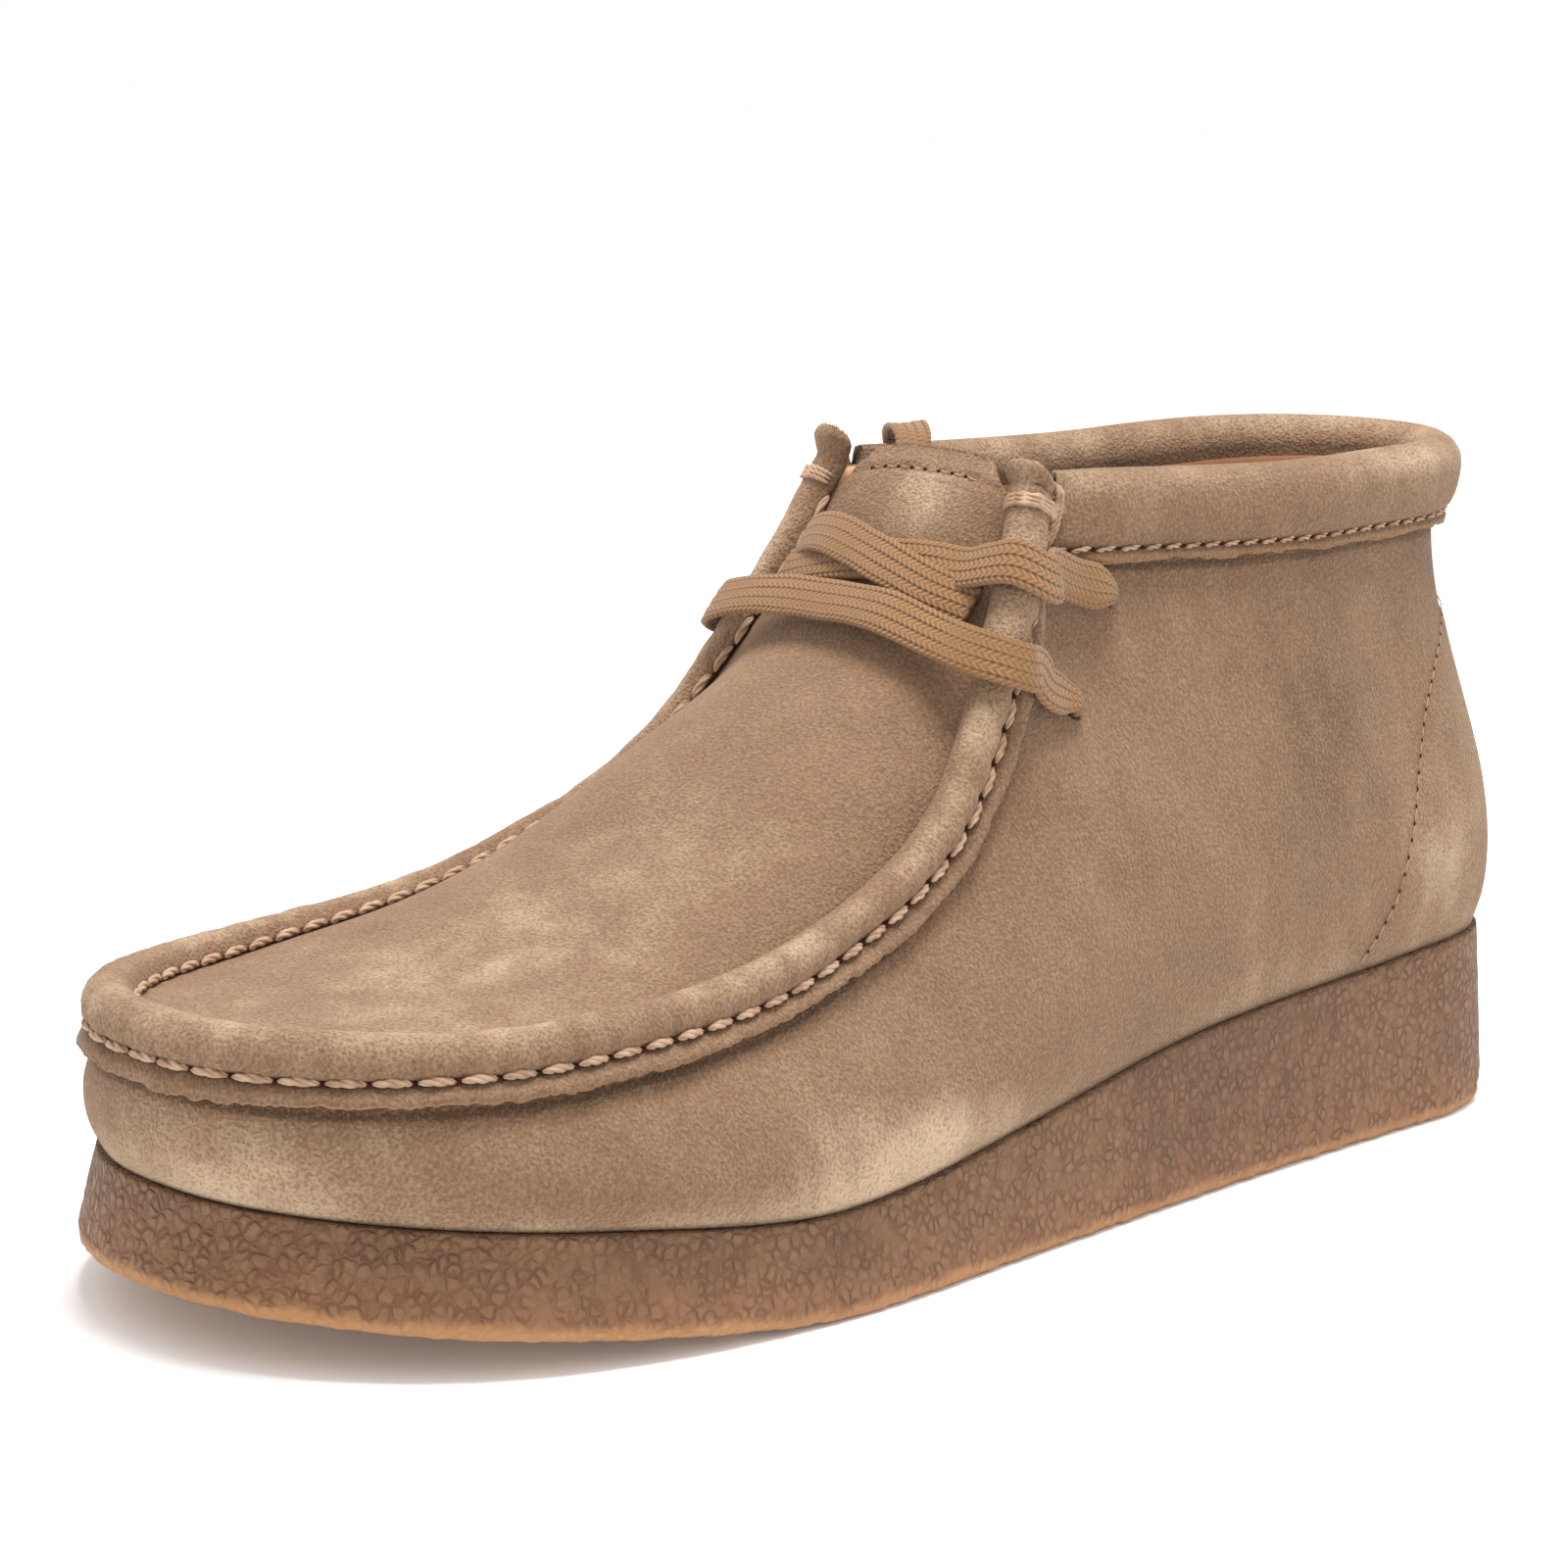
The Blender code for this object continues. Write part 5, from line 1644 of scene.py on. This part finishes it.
def make_footbed():
    """The insole: a leather sheet with a rounded edge, pressed in a little under heel and ball."""
    loops = even_loops(0, 2, 401, foot_line)[:-1]
    rib = fold(loops)[0]
    low = sole_top_height(rib) + GAP
    outer = foot_line(loops, -(INSET + LEATHER + 2 * GAP))
    middle = outer.copy()
    middle[:, 0] = (outer[:, 0] + outer[(-np.arange(len(rib))) % len(rib), 0]) / 2
    rows = [(1.0, 0.0), (1.0, 0.7), (0.985, 0.95), (0.96, 1.0)]
    rows += [(share, 1.0) for share in np.linspace(0.9, 0.0, 14)]
    rings = []
    for share, height in rows:
        line = middle + (outer - middle) * share
        rings.append(np.column_stack([line, low + INSOLE_THICKNESS * height]))
    points = np.concatenate(rings)
    pressed = np.zeros(len(points))
    for across, along, size in ((0.004, 0.70, 0.030), (0.0, 0.13, 0.024)):
        away = points[:, :2] - np.array([across, along_to_y(along)])
        pressed += bell(np.linalg.norm(away, axis=1), 0, size)
    pressed *= np.repeat([height == 1.0 for _, height in rows], len(rib))
    points[:, 2] -= 0.8 * MM * pressed
    faces = [tuple(face) for face in grid(len(rings), len(rib), closed_columns=True)[:, ::-1]]
    faces.append(tuple(range(len(rib))))
    wear_and_shade = {"wear_and_shade": -0.5 * pressed}
    make_piece("leather_footbed", points, faces, [FOOTBED], "footbed_leather", wear_and_shade, ["insole"])


# Half the thickness of a loose fibre at its root, and the corners of its three sides below the tip
FIBRE = 0.07 * MM
FIBRE_SIDES = ((0, 1), (1, 2), (2, 0))


def make_fuzz(crowns):
    """Loose fibres along the raw edges of flange, collar band and tongue, and on the seam's two ends."""
    random = np.random.default_rng(71)
    points = []
    faces = []

    def hairs(spots, outward, way, length):
        for spot, out, along in zip(spots, outward, way):
            for _ in range(2):
                way_out = out + along * random.uniform(-1.1, 1.1) + random.uniform(-0.5, 0.5, 3)
                tip = unit(way_out) * random.uniform(0.3, 1) * length
                root = spot + along * random.uniform(-0.6, 0.6) * MM
                thin = along * FIBRE
                side = unit(np.cross(tip, along)) * FIBRE
                start = len(points) * 4
                points.append(np.array([root - thin, root + thin, root + side, root + tip]))
                faces.extend((start + first, start + second, start + 3) for first, second in FIBRE_SIDES)

    def edge_hairs(line, outward, length):
        hairs(line, np.broadcast_to(outward, line.shape), unit(np.gradient(line, axis=0)), length)

    shares = np.linspace(0.002, 0.998, 520)
    seam = seam_at(shares)
    edge = -FLANGE_EDGE + 0.3 * MM * wander(shares * SEAM_LENGTH / MM, 2.3, 23)
    raw = seam.place(edge[:, None], SEAT + FLANGE_THICKNESS * 0.8)[:, 0]
    hairs(raw, unit(raw - seam.line), seam.tangent, 0.9 * MM)
    band = collar_line(np.linspace(0.005, 0.995, 260), COLLAR_BAND, SEAT + 0.5 * COLLAR_PADDING)[0]
    edge_hairs(band, DOWN, 0.7 * MM)
    hem, normal = plug_skin(FACING + 0.001, np.linspace(0.24, 0.74, 110))
    ways = unit(np.gradient(hem, axis=0))
    hairs(hem - normal * 0.9 * MM, np.tile([0, 0.4, 0.9], (110, 1)), ways, 1.0 * MM)
    for crown in crowns:
        edge_hairs(crown, unit(crown - crown.mean(axis=0)) - 1.2 * DOWN, 1.4 * MM)
    make_piece("raw_edge_fibres", np.concatenate(points), faces, [ROUGH_EDGE], "suede")


# View of the photograph, fitted to the boot's outline
VIEW_AZIMUTH = 44.18
VIEW_ELEVATION = 10.53
VIEW_ROLL = 2.35
VIEW_DISTANCE = 0.6879
VIEW_TARGET = np.array([-20.71, -6.63, 62.21]) * MM
FOCAL_PIXELS = 4174.2
FRAME_PIXELS = 1600
CENTRE_SHIFT = np.array([-30.4, 11.9])


def make_camera():
    """The camera that sees the boot as the photograph does; its shift only places the frame."""
    azimuth, elevation, roll = (math.radians(angle) for angle in (VIEW_AZIMUTH, VIEW_ELEVATION, VIEW_ROLL))
    level = math.cos(elevation)
    back = np.array([math.sin(azimuth) * level, -math.cos(azimuth) * level, math.sin(elevation)])
    right = np.array([math.cos(azimuth), math.sin(azimuth), 0])
    up = np.cross(back, right)
    turned_right = right * math.cos(roll) + up * math.sin(roll)
    turned_up = up * math.cos(roll) - right * math.sin(roll)
    lens = bpy.data.cameras.new("camera")
    lens.lens = lens.sensor_width * FOCAL_PIXELS / FRAME_PIXELS
    lens.shift_x = -CENTRE_SHIFT[0] / FRAME_PIXELS
    lens.shift_y = CENTRE_SHIFT[1] / FRAME_PIXELS
    lens.clip_start = 0.05
    camera = bpy.data.objects.new("camera", lens)
    bpy.context.scene.collection.objects.link(camera)
    place = VIEW_TARGET + MOVE + back * VIEW_DISTANCE
    columns = np.column_stack([turned_right, turned_up, back, place])
    camera.matrix_world = Matrix([*columns.tolist(), [0, 0, 0, 1]])
    bpy.context.scene.camera = camera


def make_light():
    """The softbox over the boot; the white surroundings give the rest of the light."""
    lamp = bpy.data.lights.new("top_softbox", "AREA")
    lamp.shape = "DISK"
    lamp.size = 0.6
    lamp.energy = 23.0
    light = bpy.data.objects.new("top_softbox", lamp)
    light.location = (0.05, 0.05, 1.3)
    aim = Vector((0, 0, 0.05)) - light.location
    light.rotation_euler = aim.to_track_quat("-Z", "Y").to_euler()
    bpy.context.scene.collection.objects.link(light)


def make_studio():
    """A white floor and white surroundings, as in the photograph."""
    bpy.ops.mesh.primitive_plane_add(size=120, location=(0, 0, 0))
    floor = bpy.context.object
    floor.name = "studio_floor"
    floor.data.materials.append(make_floor_paint())
    world = bpy.data.worlds.new("studio")
    world.use_nodes = True
    sky = world.node_tree.nodes["Background"].inputs
    sky["Color"].default_value = (1, 1, 1, 1)
    sky["Strength"].default_value = 1.0
    bpy.context.scene.world = world
    make_light()
    bpy.context.scene.view_settings.view_transform = "Standard"


make_camera()
make_lace_end()
make_laces()
make_outsole()
make_footbed()
make_wrap()
make_plug()
cap_crowns = make_seam()
make_seam_stitches()
make_seam_wraps()
make_collar()
make_collar_stitches()
make_fine_stitches()
make_fuzz(cap_crowns)
make_studio()
